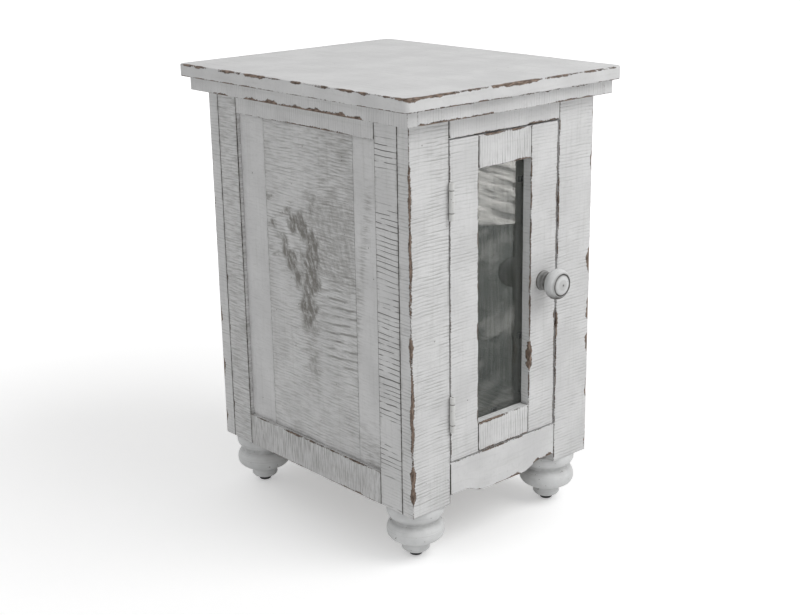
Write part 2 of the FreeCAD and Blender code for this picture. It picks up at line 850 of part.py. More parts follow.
for spot, (edge_x, edge_z, inward) in clip_spots.items():
    name = "clip_" + spot
    blank = padded(name + "_blank", "XY_Plane", clip_points, "clip_width")
    toward = FreeCAD.Vector(inward)
    blank.Placement.Rotation = FreeCAD.Rotation(toward, FreeCAD.Vector(BACKWARD), FreeCAD.Vector(), "XYZ")
    put(blank, edge_x, "door_back", edge_z)
    screw_x = "%s - (%d) * clip_screw_reach" % (edge_x, toward.x)
    screw_z = "%s - (%d) * clip_screw_reach" % (edge_z, toward.z)
    hole = clip_screw(name + "_hole", "clip_screw_length", "screw_play", screw_x, screw_z)
    clips.append(cut(name, blank, [hole]))
    clip_screws.append(clip_screw(name + "_screw", "clip_screw_length", "0", screw_x, screw_z))
    pilot_length = "clip_screw_length + tenon_room"
    pilot = clip_screw(name + "_pilot", pilot_length, "screw_play", screw_x, screw_z)
    clip_pilots[spot.split("_")[0]].append(pilot)
keep(gather("glass_clips", clips))
keep(gather("clip_screws", clip_screws))

# Knob: turned wood, held from behind by one screw through the latch stile.
knob_points = [
    ("0", "-knob_screw_bite"),
    ("knob_screw_radius + screw_play", "-knob_screw_bite"),
    ("knob_screw_radius + screw_play", "0"),
    ("rose_radius", "0"),
    ("knob_neck_radius + (rose_radius - knob_neck_radius) / 2", "-rose_thick"),
    ("knob_neck_radius", "-knob_neck_end"),
    ("knob_back_radius", "-knob_head_start"),
    ("knob_head_radius", "-knob_head_middle"),
    ("knob_face_radius", "-knob_face_height"),
    ("ring_outer_radius", "-knob_face_height"),
    ("ring_inner_radius", "ring_depth - knob_face_height"),
    ("dome_edge_radius", "-knob_face_height"),
    ("0", "-knob_reach"),
]
knob_rounds = {
    3: ("rose_round", 1),
    5: ("knob_neck_round", -1),
    6: (square_round("knob_head_middle - knob_head_start", "knob_head_radius - knob_back_radius"), 1),
    7: (square_round("knob_face_height - knob_head_middle", "knob_head_radius - knob_face_radius"), 1),
    11: (square_round("dome_edge_radius", "knob_reach - knob_face_height"), 1),
}
knob = turned("door_knob", "XY_Plane", knob_points, knob_rounds)
put(knob, "latch_middle", "front_face", "knob_middle")
keep(knob)
shank_length = "door_thick + knob_screw_bite - tenon_room"
knob_shank = rod("knob_screw_shank", "knob_screw_radius", shank_length, FORWARD)
put(knob_shank, "latch_middle", "door_back", "knob_middle")
knob_screw_head = rod("knob_screw_head", "knob_screw_head_radius", "knob_screw_head_thick", BACKWARD)
put(knob_screw_head, "latch_middle", "door_back", "knob_middle")
keep(join("knob_screw", knob_shank, knob_screw_head))
knob_bore = rod("knob_bore", "knob_screw_radius + joint_play", "door_thick + overrun", FORWARD)
put(knob_bore, "latch_middle", "door_back", "knob_middle")

# Catch: a magnet in a housing behind the top rail, and a steel strike on the back of the door.
catch_x = ("catch_left", "catch_right")
housing = block(
    "catch_core",
    catch_x,
    ("catch_front", "catch_front + catch_depth"),
    ("catch_bottom", "catch_top"),
)
catch_plate = block(
    "catch_plate",
    catch_x,
    ("frame_back", "frame_back + catch_plate_thick"),
    ("rail_bottom", "catch_plate_top"),
)
magnet_x = middle(catch_x, "magnet_width")
magnet_y = ("catch_front", "catch_front + magnet_depth")
magnet_z = ("magnet_bottom", "magnet_bottom + magnet_height")
pocket = block(
    "catch_pocket",
    grown(magnet_x, "magnet_play"),
    ("catch_front - overrun", "catch_front + magnet_depth"),
    grown(magnet_z, "magnet_play"),
)
catch_screw_x = ("latch_middle - catch_screw_spread", "latch_middle + catch_screw_spread")


def catch_screws(name, length, play):
    """Two screws driven forward through the plate of the housing into the top rail."""
    made = []
    for number, across in enumerate(catch_screw_x):
        screw = wood_screw("%s_%d" % (name, number), length, play)
        aim(screw, FORWARD)
        put(screw, across, "frame_back + catch_plate_thick", "(catch_top + catch_plate_top) / 2")
        made.append(screw)
    return made


catch_holes = catch_screws("catch_hole", "clip_screw_length", "screw_play")
keep(cut("catch_housing", join("catch_body", housing, catch_plate), [pocket] + catch_holes))
keep(block("catch_magnet", magnet_x, magnet_y, magnet_z))
keep(gather("catch_screws", catch_screws("catch_screw", "clip_screw_length", "0")))
catch_pilots = catch_screws("catch_pilot", "clip_screw_length + tenon_room", "screw_play")
keep(cut("front_top_rail", front_top, catch_pilots))

strike_x = middle(catch_x, "strike_width")
strike_z = ("strike_bottom", "strike_bottom + strike_height")
strike_blank = block("strike_blank", strike_x, ("door_back", "door_back + strike_thick"), strike_z)


def strike_screw(name, length, play):
    """Screw in the middle of the strike, driven forward into the door."""
    screw = wood_screw(name, length, play)
    aim(screw, FORWARD)
    put(screw, "latch_middle", "door_back + strike_thick", "strike_bottom + strike_height / 2")
    return screw


strike_hole = strike_screw("strike_hole", "strike_screw_length", "screw_play")
keep(cut("strike_plate", strike_blank, [strike_hole]))
keep(strike_screw("strike_screw", "strike_screw_length", "0"))
strike_pilot = strike_screw("strike_pilot", "strike_screw_length + tenon_room", "screw_play")

# The door's own frame, with everything let into it.
hinge_board = block("door_hinge_board", ("door_left", "window_left"), door_y, door_z)
hinge_cuts = [rebate, door_upper_holes, door_lower_holes] + door_lets + door_pilots
hinge_cuts += clip_pilots["left"]
keep(cut("door_hinge_stile", hinge_board, hinge_cuts))
latch_board = block("door_latch_board", ("window_right", "door_right"), door_y, door_z)
latch_cuts = [rebate, door_upper_holes, door_lower_holes, knob_bore, strike_pilot]
latch_cuts += clip_pilots["right"]
keep(cut("door_latch_stile", latch_board, latch_cuts))
keep(cut("door_top_rail", door_top, [rebate] + clip_pilots["top"]))
keep(cut("door_bottom_rail", door_low, [rebate] + clip_pilots["bottom"]))

doc.recompute()
failed = [obj.Name for obj in doc.Objects if "Invalid" in obj.State or "Error" in obj.State]
if failed:
    raise RuntimeError("objects that did not build: " + ", ".join(failed))
for label, obj in nodes.items():
    if obj.Shape.isNull() or not obj.Shape.isValid() or not obj.Shape.Solids:
        raise RuntimeError("no sound shape in " + label)

os.makedirs("parts", exist_ok=True)
for label, obj in nodes.items():
    obj.Shape.exportStep(os.path.join("parts", label + ".step"))
print(len(nodes), "sub-parts written")
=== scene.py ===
import math

import bmesh
import bpy
import numpy as np
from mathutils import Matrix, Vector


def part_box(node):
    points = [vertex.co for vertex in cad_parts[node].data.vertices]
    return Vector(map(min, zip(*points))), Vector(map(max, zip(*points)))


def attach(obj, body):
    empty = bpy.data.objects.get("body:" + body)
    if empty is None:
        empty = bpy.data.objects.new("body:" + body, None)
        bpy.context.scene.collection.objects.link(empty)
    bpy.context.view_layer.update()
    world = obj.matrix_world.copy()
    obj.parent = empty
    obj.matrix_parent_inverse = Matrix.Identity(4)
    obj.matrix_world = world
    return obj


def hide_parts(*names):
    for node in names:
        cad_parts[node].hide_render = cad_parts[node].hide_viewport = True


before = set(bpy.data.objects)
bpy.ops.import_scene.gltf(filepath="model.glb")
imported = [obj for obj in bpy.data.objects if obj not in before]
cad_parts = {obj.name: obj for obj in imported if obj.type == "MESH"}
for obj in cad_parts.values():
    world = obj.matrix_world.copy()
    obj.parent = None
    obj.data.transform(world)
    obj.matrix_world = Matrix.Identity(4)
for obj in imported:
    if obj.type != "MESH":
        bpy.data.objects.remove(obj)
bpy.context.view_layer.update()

# Front frame: two stiles, a head rail and a scalloped apron, sawn from pine and painted chalk white.
# The rails are tenoned into the stiles, so each joint shows as a fine dark line, and the paint
# is rubbed through to brown wood along the outer corners.
MM = 0.001
WORDS = {"x": ("left", "right"), "y": ("front", "back"), "z": ("low", "high")}
CROSS = {"x": ("y", "z"), "y": ("z", "x"), "z": ("x", "y")}
FIELDS = ("edge_mm", "worn", "seam", "sawn", "kerfs", "rubbed", "washboard")
ARRIS_STEPS = (0.0, 0.3, 0.7, 1.0)
EDGE_ROWS = (0.7, 1.8, 4.0, 12.0)
END_EASE = 0.6
RUN_FADE = 4
WEAR_PITCH = 27
NIBBLE_PITCH = 24
QUICK_PITCH = 6
SOFT_PITCH = 40
RIB_PITCH = 4.7
KERF_PITCH = 7.5
RIPPLE_PITCH = 12
RAIL_JOINT = {"ends": 2.3}


def tint(red, green, blue):
    """Scene colour of a paint chip given in steps of 0 to 255."""
    steps = np.array((red, green, blue)) / 255
    linear = np.where(steps <= 0.04045, steps / 12.92, ((steps + 0.055) / 1.055) ** 2.4)
    return (*linear.tolist(), 1.0)


class Finish:
    """One node material, with short words for wiring it."""

    def __init__(self, name, **sockets):
        self.material = bpy.data.materials.new(name)
        self.material.use_nodes = True
        self.tree = self.material.node_tree
        self.shader = self.tree.nodes["Principled BSDF"]
        self.set(**sockets)

    def set(self, **sockets):
        """Give the shader's sockets a value or a link."""
        for socket, value in sockets.items():
            self.feed(self.shader.inputs[socket.replace("_", " ")], value)

    def feed(self, socket, value):
        if isinstance(value, bpy.types.NodeSocket):
            self.tree.links.new(value, socket)
        else:
            socket.default_value = value

    def node(self, kind, inputs=(), **settings):
        """Outputs of a new node, with its inputs fed in order or by name."""
        made = self.tree.nodes.new("ShaderNode" + kind)
        for key, value in settings.items():
            setattr(made, key, value)
        for key, value in inputs.items() if isinstance(inputs, dict) else enumerate(inputs):
            self.feed(made.inputs[key], value)
        return made.outputs

    def calc(self, operation, *values):
        return self.node("Math", values, operation=operation)[0]

    def times(self, product, *factors):
        for factor in factors:
            product = self.calc("MULTIPLY", product, factor)
        return product

    def add_up(self, total, *parts):
        """Sum of fields, each with its own weight."""
        for part, weight in parts:
            total = self.calc("MULTIPLY_ADD", part, weight, total)
        return total

    def in_mm(self, vector):
        return self.node("VectorMath", {0: vector, "Scale": 1 / MM}, operation="SCALE")[0]

    def place(self):
        """Place in the table's frame, in millimetres."""
        return self.in_mm(self.node("TexCoord")["Object"])

    def along_grain(self):
        """Distance along the grain and across it, in millimetres."""
        return self.node("SeparateXYZ", [self.in_mm(self.node("UVMap", uv_map="grain")[0])])[:2]

    def noise(self, vector, size=1.0, detail=2.0, rough=0.5):
        inputs = {"Vector": vector, "Scale": 1 / size, "Detail": detail, "Roughness": rough}
        return self.node("TexNoise", inputs)[0]

    def drawn_out(self, vector, sizes, detail=2.0, rough=0.5):
        """Noise with a size of its own along each axis."""
        divided = self.node("VectorMath", [vector, sizes], operation="DIVIDE")[0]
        return self.noise(divided, 1, detail, rough)

    def flecks(self, along, across, long_size, cross_size, detail=2.0, rough=0.5):
        """Noise of one size along the grain and another across it."""
        parts = [self.calc("DIVIDE", along, long_size), self.calc("DIVIDE", across, cross_size)]
        return self.noise(self.node("CombineXYZ", parts)[0], 1, detail, rough)

    def ramp(self, value, low, high, start=0.0, stop=1.0):
        inputs = (value, low, high, start, stop)
        return self.node("MapRange", inputs, interpolation_type="SMOOTHSTEP")[0]

    def field(self, name):
        return self.node("Attribute", attribute_name=name)["Fac"]

    def blend(self, share, under, over):
        """One colour over another. Each is a socket or a paint chip."""
        under, over = (tint(*colour) if isinstance(colour, tuple) else colour for colour in (under, over))
        return self.node("Mix", {0: share, 6: under, 7: over}, data_type="RGBA")[2]

    def coats(self, colour, *layers):
        """Colours laid on in turn, each with the share of the surface that it covers."""
        for share, over in layers:
            colour = self.blend(share, colour, over)
        return colour

    def specks(self, vector, pitch, radius, chance):
        """Small round spots, one at most in each cell of the pitch."""
        cells = self.node("TexVoronoi", {"Vector": vector, "Scale": 1 / pitch})
        draw = self.node("SeparateColor", [cells["Color"]])[0]
        spot = self.ramp(cells["Distance"], 0.5 * radius / pitch, radius / pitch, 1.0, 0.0)
        return self.times(spot, self.calc("LESS_THAN", draw, chance))

    def relief(self, height, depth):
        """Surface relief out of a height field."""
        inputs = {"Strength": 1.0, "Distance": depth * MM, "Height": height}
        self.set(Normal=self.node("Bump", inputs)[0])


def chalk_paint():
    """Rubbed chalk paint over sawn pine: saw marks across the grain, worn arrises, dark joints.
    Painted shade darkens the troughs of the saw marks and ripples and a rim round each worn patch,
    and a grey halo beside each joint is grime and painted shade.
    """
    paint = Finish("rubbed_chalk_paint", Specular_IOR_Level=0.3)
    place = paint.place()
    along, across = paint.along_grain()
    edge, worn, seam, sawn, kerfs, rubbed, washboard = (paint.field(name) for name in FIELDS)
    calc, times, ramp, noise, flecks = paint.calc, paint.times, paint.ramp, paint.noise, paint.flecks

    cloud = noise(place, 60, 4)
    mottle = noise(place, 5, 4, 0.6)
    streak = flecks(along, across, 120, 6, 4, 0.55)
    stroke = calc("MULTIPLY_ADD", noise(place, 70, 2), 6, along)
    rib = calc("SINE", times(stroke, math.tau / RIB_PITCH))
    uneven = ramp(flecks(stroke, across, 6, 44), 0.36, 0.6, 0.15, 1)
    marked = times(ramp(noise(place, 45, 3), 0.36, 0.62, 0.35, 1), sawn)
    cut_here = times(uneven, marked)
    # Painted shade: the troughs of the saw marks are darkened in colour, as well as cut into the relief.
    saw_trough_shade = times(ramp(rib, 0.25, 0.95), cut_here)
    scratch = times(ramp(flecks(stroke, across, 1.3, 20), 0.54, 0.72), marked)
    spacing = flecks(along, across, 24, 400, 1)
    phase = calc("MULTIPLY_ADD", spacing, 1.5, calc("DIVIDE", stroke, KERF_PITCH))
    thin = ramp(calc("SINE", times(phase, math.tau)), 0.84, 0.97)
    bunch = ramp(flecks(along, across, 42, 160), 0.4, 0.52)
    broken = ramp(flecks(stroke, across, 4, 22, 1), 0.34, 0.5)
    kerf = times(thin, broken, times(bunch, kerfs))
    swell = paint.add_up(along, (noise(place, 40, 2), 7), (across, -0.09))
    wave = calc("SINE", times(swell, math.tau / RIPPLE_PITCH))
    rippled = times(washboard, ramp(flecks(swell, across, 11, 34, 3), 0.34, 0.6))
    # Painted shade: the troughs of the ripples are darkened in colour.
    ripple_trough_shade = times(rippled, ramp(wave, 0.3, 1))
    blotch = flecks(along, calc("MULTIPLY_ADD", along, 0.3, across), 13, 7, 5, 0.7)
    comb = flecks(stroke, across, 2.6, 24, 3, 0.6)
    figure = calc("MULTIPLY_ADD", ramp(rubbed, 0.55, 1), calc("SUBTRACT", blotch, comb), comb)
    figure = calc("MULTIPLY_ADD", rubbed, 0.21, figure)
    rub = times(rubbed, ramp(figure, 0.5, 0.8))
    speck = paint.specks(place, 19, 1.2, 0.26)

    reach = times(worn, ramp(flecks(along, across, 22, 60, 3), 0.3, 0.7, 0.6, 6.2))
    crumbs = times(calc("SUBTRACT", noise(place, 2.2, 4, 0.68), 0.5), 7)
    crumbs = times(crumbs, calc("MINIMUM", times(worn, 3), 1))
    depth_in = calc("SUBTRACT", calc("ADD", reach, crumbs), edge)
    wear = ramp(depth_in, 0.25, 0.6)
    # Painted shadow: a dark rim round each worn patch, at the broken edge of the paint.
    rim = times(wear, ramp(depth_in, 0.6, 1.5, 1, 0))
    line = calc("ADD", edge, times(noise(place, 6, 2), 0.9))
    narrow = calc("DIVIDE", line, calc("MAXIMUM", seam, 0.7))
    joint = times(seam, ramp(narrow, 0.35, 1.05, 1, 0))
    # A soft grey halo in patches beside each joint: grime, and painted shade where the parts meet.
    joint_grime_and_shade = times(calc("MINIMUM", seam, 1), ramp(line, 0.8, 6, 0.35, 0), ramp(noise(place, 17, 4), 0.42, 0.68))
    fibre = ramp(flecks(along, across, 9, 1.6, 3), 0.34, 0.66)

    colour = paint.coats(
        paint.blend(ramp(cloud, 0.3, 0.7), (213, 213, 213), (226, 226, 226)),
        (ramp(mottle, 0.5, 0.8, 0, 0.3), (186, 187, 185)),
        (ramp(streak, 0.5, 0.78, 0, 0.3), (188, 188, 185)),
        (times(scratch, 0.4), (150, 149, 144)),
        (times(saw_trough_shade, 0.6), (146, 146, 143)),
        (joint_grime_and_shade, (126, 125, 120)),
        (times(rub, 0.82), (112, 109, 103)),
        (times(ripple_trough_shade, 0.7), (116, 115, 110)),
        (times(kerf, 0.85), (66, 63, 58)),
        (times(speck, 0.75), (84, 78, 72)),
        (wear, paint.blend(fibre, (76, 64, 56), (150, 131, 117))),
        (times(rim, 0.55), (56, 47, 42)),
        (joint, (64, 61, 57)))
    paint.set(Base_Color=colour, Roughness=ramp(cloud, 0.3, 0.7, 0.56, 0.72))
    height = paint.add_up(
        times(times(rib, cut_here), -0.55), (streak, 0.25), (kerf, -1.1), (times(wave, rippled), -1.0),
        (wear, -0.9), (mottle, 0.3), (noise(place, 1.6, 2), 0.2))
    paint.relief(height, 0.5)
    return paint.material


def stained_wood(grain):
    """Bare sawn wood of the inside, stained grey brown, with its grain along one axis."""
    wood = Finish("inside_wood_" + grain, Specular_IOR_Level=0.25)
    place = wood.place()
    rings = wood.drawn_out(place, tuple(130 if axis == grain else 5 for axis in "xyz"), 5, 0.6)
    teeth = wood.drawn_out(place, tuple(1.6 if axis == grain else 40 for axis in "xyz"))
    colour = wood.coats(
        wood.blend(wood.ramp(rings, 0.3, 0.7), (128, 122, 114), (164, 158, 149)),
        (wood.ramp(wood.noise(place, 80, 3), 0.4, 0.7, 0, 0.5), (140, 139, 134)),
        (wood.ramp(teeth, 0.52, 0.72, 0, 0.5), (104, 99, 92)))
    wood.set(Base_Color=colour, Roughness=wood.ramp(rings, 0.2, 0.8, 0.68, 0.85))
    wood.relief(wood.add_up(rings, (teeth, -0.6)), 0.4)
    return wood.material


chalk = chalk_paint()
bare = {axis: stained_wood(axis) for axis in "xyz"}


def corners(node):
    """Lowest and highest corner of a CAD node, in millimetres."""
    low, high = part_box(node)
    return np.array(low) / MM, np.array(high) / MM


def between(node, left, right, axis="x"):
    """A rail's corners without its tenons: it shows only from one stile to the other."""
    low, high = corners(node)
    index = "xyz".index(axis)
    low[index] = corners(left)[1][index]
    high[index] = corners(right)[0][index]
    return low, high


def drift(places, pitch, seed):
    """Smooth random values between -1 and 1 along a line, with a knot at each pitch."""
    at = (places - places.min()) / pitch
    knots = np.random.default_rng(seed).uniform(-1, 1, int(at.max()) + 3)
    whole = at.astype(int)
    part = at - whole
    part = part * part * (3 - 2 * part)
    return knots[whole] * (1 - part) + knots[whole + 1] * part


def ragged_line(places, pitch, slow_seed, quick_seed):
    """Values about 0.5 along a line: a slow drift of the given pitch with a quick one on it."""
    return 0.5 + 0.3 * drift(places, pitch, slow_seed) + 0.2 * drift(places, QUICK_PITCH, quick_seed)


def wear_along(places, runs, faint, seed):
    """Wear of an arris from 0 to 1: faint all along, and stronger where a run says so."""
    ragged = ragged_line(places, WEAR_PITCH, seed, seed + 1)
    made = faint * (0.2 + 1.3 * ragged)
    for start, stop, strength in runs:
        inside = np.clip(np.minimum(places - start, stop - places) / RUN_FADE + 0.5, 0, 1)
        made = np.maximum(made, strength * inside * (0.4 + 0.7 * ragged))
    return made


def walked(path):
    """Distance from the first point of a path to each of its points."""
    return np.concatenate(([0], np.cumsum(np.linalg.norm(np.diff(path, axis=0), axis=1))))


def put(name, data):
    """New object in the scene."""
    made = bpy.data.objects.new(name, data)
    bpy.context.scene.collection.objects.link(made)
    return made


def settle(piece, body, slot, *nodes):
    """Fix a piece to its body in place of the CAD nodes it stands for."""
    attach(piece, body)
    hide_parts(*nodes)


def skin(name, rings, fields, seed, bare_rows=(), bare_wood=None):
    """Closed mesh over a row of rings, with a UV map along the grain and one value of each
    field at every point. The first slot is paint, and the listed rows take bare wood."""
    count, around = rings.shape[:2]
    here = np.arange(count * around).reshape(count, around)
    beside = np.roll(here, -1, axis=1)
    quads = np.stack((here[:-1], beside[:-1], beside[1:], here[1:]), axis=-1).reshape(-1, 4)
    faces = [*quads.tolist(), here[0, ::-1].tolist(), here[-1].tolist()]
    mesh = bpy.data.meshes.new(name)
    mesh.from_pydata((rings.reshape(-1, 3) * MM).tolist(), [], faces)
    shift = np.random.default_rng(seed).uniform(0, 4, 2)
    middle = rings[count // 2]
    across = walked(np.concatenate((middle, middle[:1]))) * MM + shift[1]
    run = walked(rings.mean(axis=1)) * MM + shift[0]
    rows, columns = np.divmod(np.arange((count - 1) * around), around)
    uv = np.zeros((len(quads), 4, 2))
    uv[:, :, 0] = run[np.stack((rows, rows, rows + 1, rows + 1), axis=-1)]
    uv[:, :, 1] = across[np.stack((columns, columns + 1, columns + 1, columns), axis=-1)]
    flat = [uv.reshape(-1, 2)]
    for ring, at in ((np.arange(around)[::-1], run[0]), (np.arange(around), run[-1])):
        flat.append(np.stack((np.full(around, at), across[ring]), axis=-1))
    layer = mesh.uv_layers.new(name="grain")
    layer.data.foreach_set("uv", np.concatenate(flat).astype(np.float32).ravel())
    for field, values in fields.items():
        made = mesh.attributes.new(field, "FLOAT", "POINT")
        spread = np.broadcast_to(values, (count, around)).astype(np.float32)
        made.data.foreach_set("value", spread.ravel())
    mesh.materials.append(chalk)
    if bare_wood:
        mesh.materials.append(bare_wood)
        slots = np.zeros(len(faces), np.int32)
        slots[:len(quads)] = np.isin(columns, list(bare_rows))
        mesh.polygons.foreach_set("material_index", slots)
    mesh.polygons.foreach_set("use_smooth", np.ones(len(faces), bool))
    mesh.update()
    return put(name, mesh)


def board(node, grain, low, high, seed, wear=None, seams=(), faint=0.1, soft=0.7, sawn=0.4,
          kerfs=0.0, section=None, lower=None, unpainted=None, bare_edges=(), fill=0,
          rubbed=None, washboard=None, step=5, body="cabinet"):
    """Sawn board with eased and worn arrises, which stands for a CAD node. An arris is named by
    its two sides, such as "left front", and "ends" are the arrises round both ends. Wear is given
    in runs of millimetres along the board. A section of its own is a list of points, anticlockwise."""
    seams = seams if isinstance(seams, dict) else dict.fromkeys(seams, 1.0)
    across = CROSS[grain]
    order = ["xyz".index(axis) for axis in (grain, *across)]
    start, stop = low[order[0]], high[order[0]]
    box = [(low[i], high[i]) for i in order[1:]]
    if section is None:
        section = [(box[0][0], box[1][0]), (box[0][1], box[1][0]),
                   (box[0][1], box[1][1]), (box[0][0], box[1][1])]
    section = np.array(section, float)
    total = len(section)
    number = max(2, round((stop - start) / step))
    inner = np.linspace(start + END_EASE, stop - END_EASE, number + 1)
    half = (section.max(axis=0) - section.min(axis=0)) / 2
    deepest = 0.8 * half.min()
    shrunk = np.array((deepest, 0.4 * deepest, END_EASE, 0.3 * END_EASE))
    inward = np.array((0, 0, 0, 0.3 * END_EASE))
    places = np.concatenate((start + inward, inner, stop - inward[::-1]))
    inset = np.concatenate((shrunk, np.zeros(len(inner)), shrunk[::-1]))
    from_end = np.minimum(places - start, stop - places) + np.maximum(inset - END_EASE, 0)
    on_cap = inset >= END_EASE
    spots = np.repeat(section[None], len(places), axis=0)
    if lower is not None:
        spots[:, :2, 1] = lower(places)[:, None]
    middle = section.mean(axis=0)
    spots = middle + (spots - middle) * (1 - inset[:, None, None] / half)

    runs = {frozenset(key.split()): value for key, value in (wear or {}).items()}
    dark = {frozenset(key.split()): strength for key, strength in seams.items()}
    corner_dark, worn, radius = [], [], []
    for index, spot in enumerate(section):
        words = [WORDS[axis][int(spot[k] > middle[k])] for k, axis in enumerate(across)]
        on_box = all(min(abs(spot[k] - side) for side in box[k]) < 1e-3 for k in (0, 1))
        key = frozenset(words) if on_box else frozenset()
        faintly = 0.0 if key in dark or not key else faint
        value = wear_along(places, runs.get(key, ()), faintly, seed * 31 + index)
        nibble = ragged_line(places, NIBBLE_PITCH, seed * 57 + index, seed * 59 + index)
        corner_dark.append(dark.get(key, 0.0))
        worn.append(value)
        radius.append(soft * (1 + 0.3 * drift(places, SOFT_PITCH, seed + index)) + 1.9 * value * nibble)
    worn = np.array(worn).T
    radius = np.array(radius).T

    narrowed = (1 - inset / half.min())[:, None]
    # a row of points along the board, its distance from an arris, that arris, and the face it is on
    rows = []
    for index in range(total):
        after = (index + 1) % total
        here = spots[:, index]
        into = here - spots[:, index - 1]
        into /= np.linalg.norm(into, axis=1, keepdims=True)
        out = spots[:, after] - here
        length = np.linalg.norm(out, axis=1, keepdims=True)
        out /= length
        near = np.minimum(radius[:, index, None] * narrowed, 0.4 * length)
        far = np.minimum(radius[:, after, None] * narrowed, 0.4 * length)
        for share in ARRIS_STEPS:
            bent = here - into * near * (1 - share) ** 2 + out * near * share ** 2
            rows.append((bent, 0.0, index, index if share >= 0.5 else (index - 1) % total))
        room = (length / 2 - np.maximum(near, far))[~on_cap].min()
        shrink = min(1.0, 0.95 * room / EDGE_ROWS[-1])
        for row in EDGE_ROWS:
            rows.append((here + out * (near + row * shrink * narrowed), row * shrink, index, index))
        first = near + EDGE_ROWS[-1] * shrink * narrowed
        last = length - far - EDGE_ROWS[-1] * shrink * narrowed
        extra = int((last - first).max() / fill) if fill else 0
        for share in np.arange(1, extra + 1) / (extra + 1):
            rows.append((here + out * (first + (last - first) * share), EDGE_ROWS[-1], index, index))
        for row in EDGE_ROWS[::-1]:
            rows.append((here + out * (length - far - row * shrink * narrowed), row * shrink, after, index))
    flat = np.stack([row[0] for row in rows], axis=1)
    rings = np.zeros((*flat.shape[:2], 3))
    rings[:, :, order[0]] = places[:, None]
    rings[:, :, order[1:]] = flat

    edge = np.broadcast_to(np.array([row[1] for row in rows]), flat.shape[:2])
    owner = [row[2] for row in rows]
    at_end = on_cap[:, None] | (from_end[:, None] < edge)
    end_dark = seams.get("ends", 0.0)
    fields = {
        "edge_mm": np.where(at_end, from_end[:, None], edge),
        "worn": np.where(at_end, 0.0 if end_dark else faint, worn[:, owner]),
        "seam": np.where(at_end, end_dark, np.array(corner_dark)[owner]),
        "sawn": sawn,
        "kerfs": kerfs,
        "rubbed": rubbed(rings) if rubbed else 0.0,
        "washboard": washboard(rings) if washboard else 0.0,
    }
    bare_rows = []
    if unpainted:
        facing = []
        for run in np.roll(section, -1, axis=0) - section:
            outward = (run[1], -run[0])
            k = int(abs(outward[1]) > abs(outward[0]))
            facing.append(WORDS[across[k]][int(outward[k] > 0)])
        for number, (_, _, arris, face) in enumerate(rows):
            beside = unpainted in (facing[arris], facing[arris - 1])
            if facing[face] == unpainted or (beside and facing[face] in bare_edges):
                bare_rows.append(number)
    piece = skin(node + "_board", rings, fields, seed, bare_rows, bare[grain] if unpainted else None)
    settle(piece, body, "white_paint", node)


SCALLOP_FLAT = 35
SCALLOP_RUN = 45
SCALLOP_RISE = 10.7
front_stiles = ("front_stile_left", "front_stile_right")
apron_box = between("front_apron", *front_stiles)


def scallop(places):
    """Height of the apron's lower edge: low in the middle, with an ogee up to each end."""
    part = np.clip((np.abs(places) - SCALLOP_FLAT) / SCALLOP_RUN, 0, 1)
    rise = np.where(part < 0.5, 2 * part ** 2, 1 - 2 * (1 - part) ** 2)
    return apron_box[0][2] + SCALLOP_RISE * rise


corner_wear = [(104, 150, 1.0), (150, 174, 0.5), (174, 256, 0.9), (256, 294, 0.5),
               (294, 338, 0.8), (338, 400, 0.45), (400, 470, 0.65), (470, 560, 0.5)]
notch_wear = [(84, 96, 0.8), (166, 190, 1.3), (232, 262, 1.4), (288, 315, 1.3), (358, 390, 1.4),
              (508, 528, 1.4), (582, 592, 1.1)]
gap_wear = [(140, 345, 0.2), (219, 314, 0.5), (385, 590, 0.2), (440, 510, 0.35)]
apron_wear = {"front low": [(-52, -46, 0.7), (-18, 34, 0.9), (62, 100, 1.2)],
              "front high": [(-60, 40, 0.25)]}
board("front_stile_left", "z", *corners("front_stile_left"), 11, {"left front": corner_wear},
      ("left back", "right front"), sawn=0.85, kerfs=0.12, unpainted="back", soft=0.8)
board("front_stile_right", "z", *corners("front_stile_right"), 12,
      {"right front": notch_wear, "left front": gap_wear}, ("right back",),
      sawn=0.6, kerfs=0.05, unpainted="back", soft=0.8)
board("front_top_rail", "x", *between("front_top_rail", *front_stiles), 13,
      {"front low": [(40, 104, 0.4), (-60, -30, 0.3)]}, RAIL_JOINT, sawn=0.3, unpainted="back")
board("front_apron", "x", *apron_box, 14, apron_wear, RAIL_JOINT, sawn=0.05, lower=scallop,
      unpainted="back", step=3)

# Sides: pine stiles and rails round a panel of three planks, which stands back in a groove.
# The stiles and the wide plank still show the saw, and a knotty figure is rubbed bare in the
# middle of the wide one. The inner faces are stained, not painted.
FIGURE = [
    # place across the plank, height, half width, half height, lean and strength of a dark patch
    (22, 444, 31, 24, 0.4, 1.55), (48, 457, 18, 8, 0.6, 1.2), (-8, 414, 21, 36, 0.0, 1.5),
    (-4, 376, 22, 38, 0.15, 1.55), (4, 326, 23, 44, 0.1, 1.5), (41, 391, 19, 48, 0.62, 1.45),
    (16, 405, 14, 12, 0.8, 1.0), (-10, 478, 24, 44, 0.0, 0.9), (-3, 246, 26, 64, 0.0, 0.82),
    (84, 480, 18, 8, 0.0, 1.0), (84, 434, 16, 10, -0.5, 1.05), (80, 396, 26, 6, 0.3, 1.0),
]
LIGHT_RUB = 0.5


def window(values, low, high, soft):
    """1 between two limits, fading to 0 over a soft width outside them."""
    return np.clip(np.minimum(values - low, high - values) / soft + 1, 0, 1)


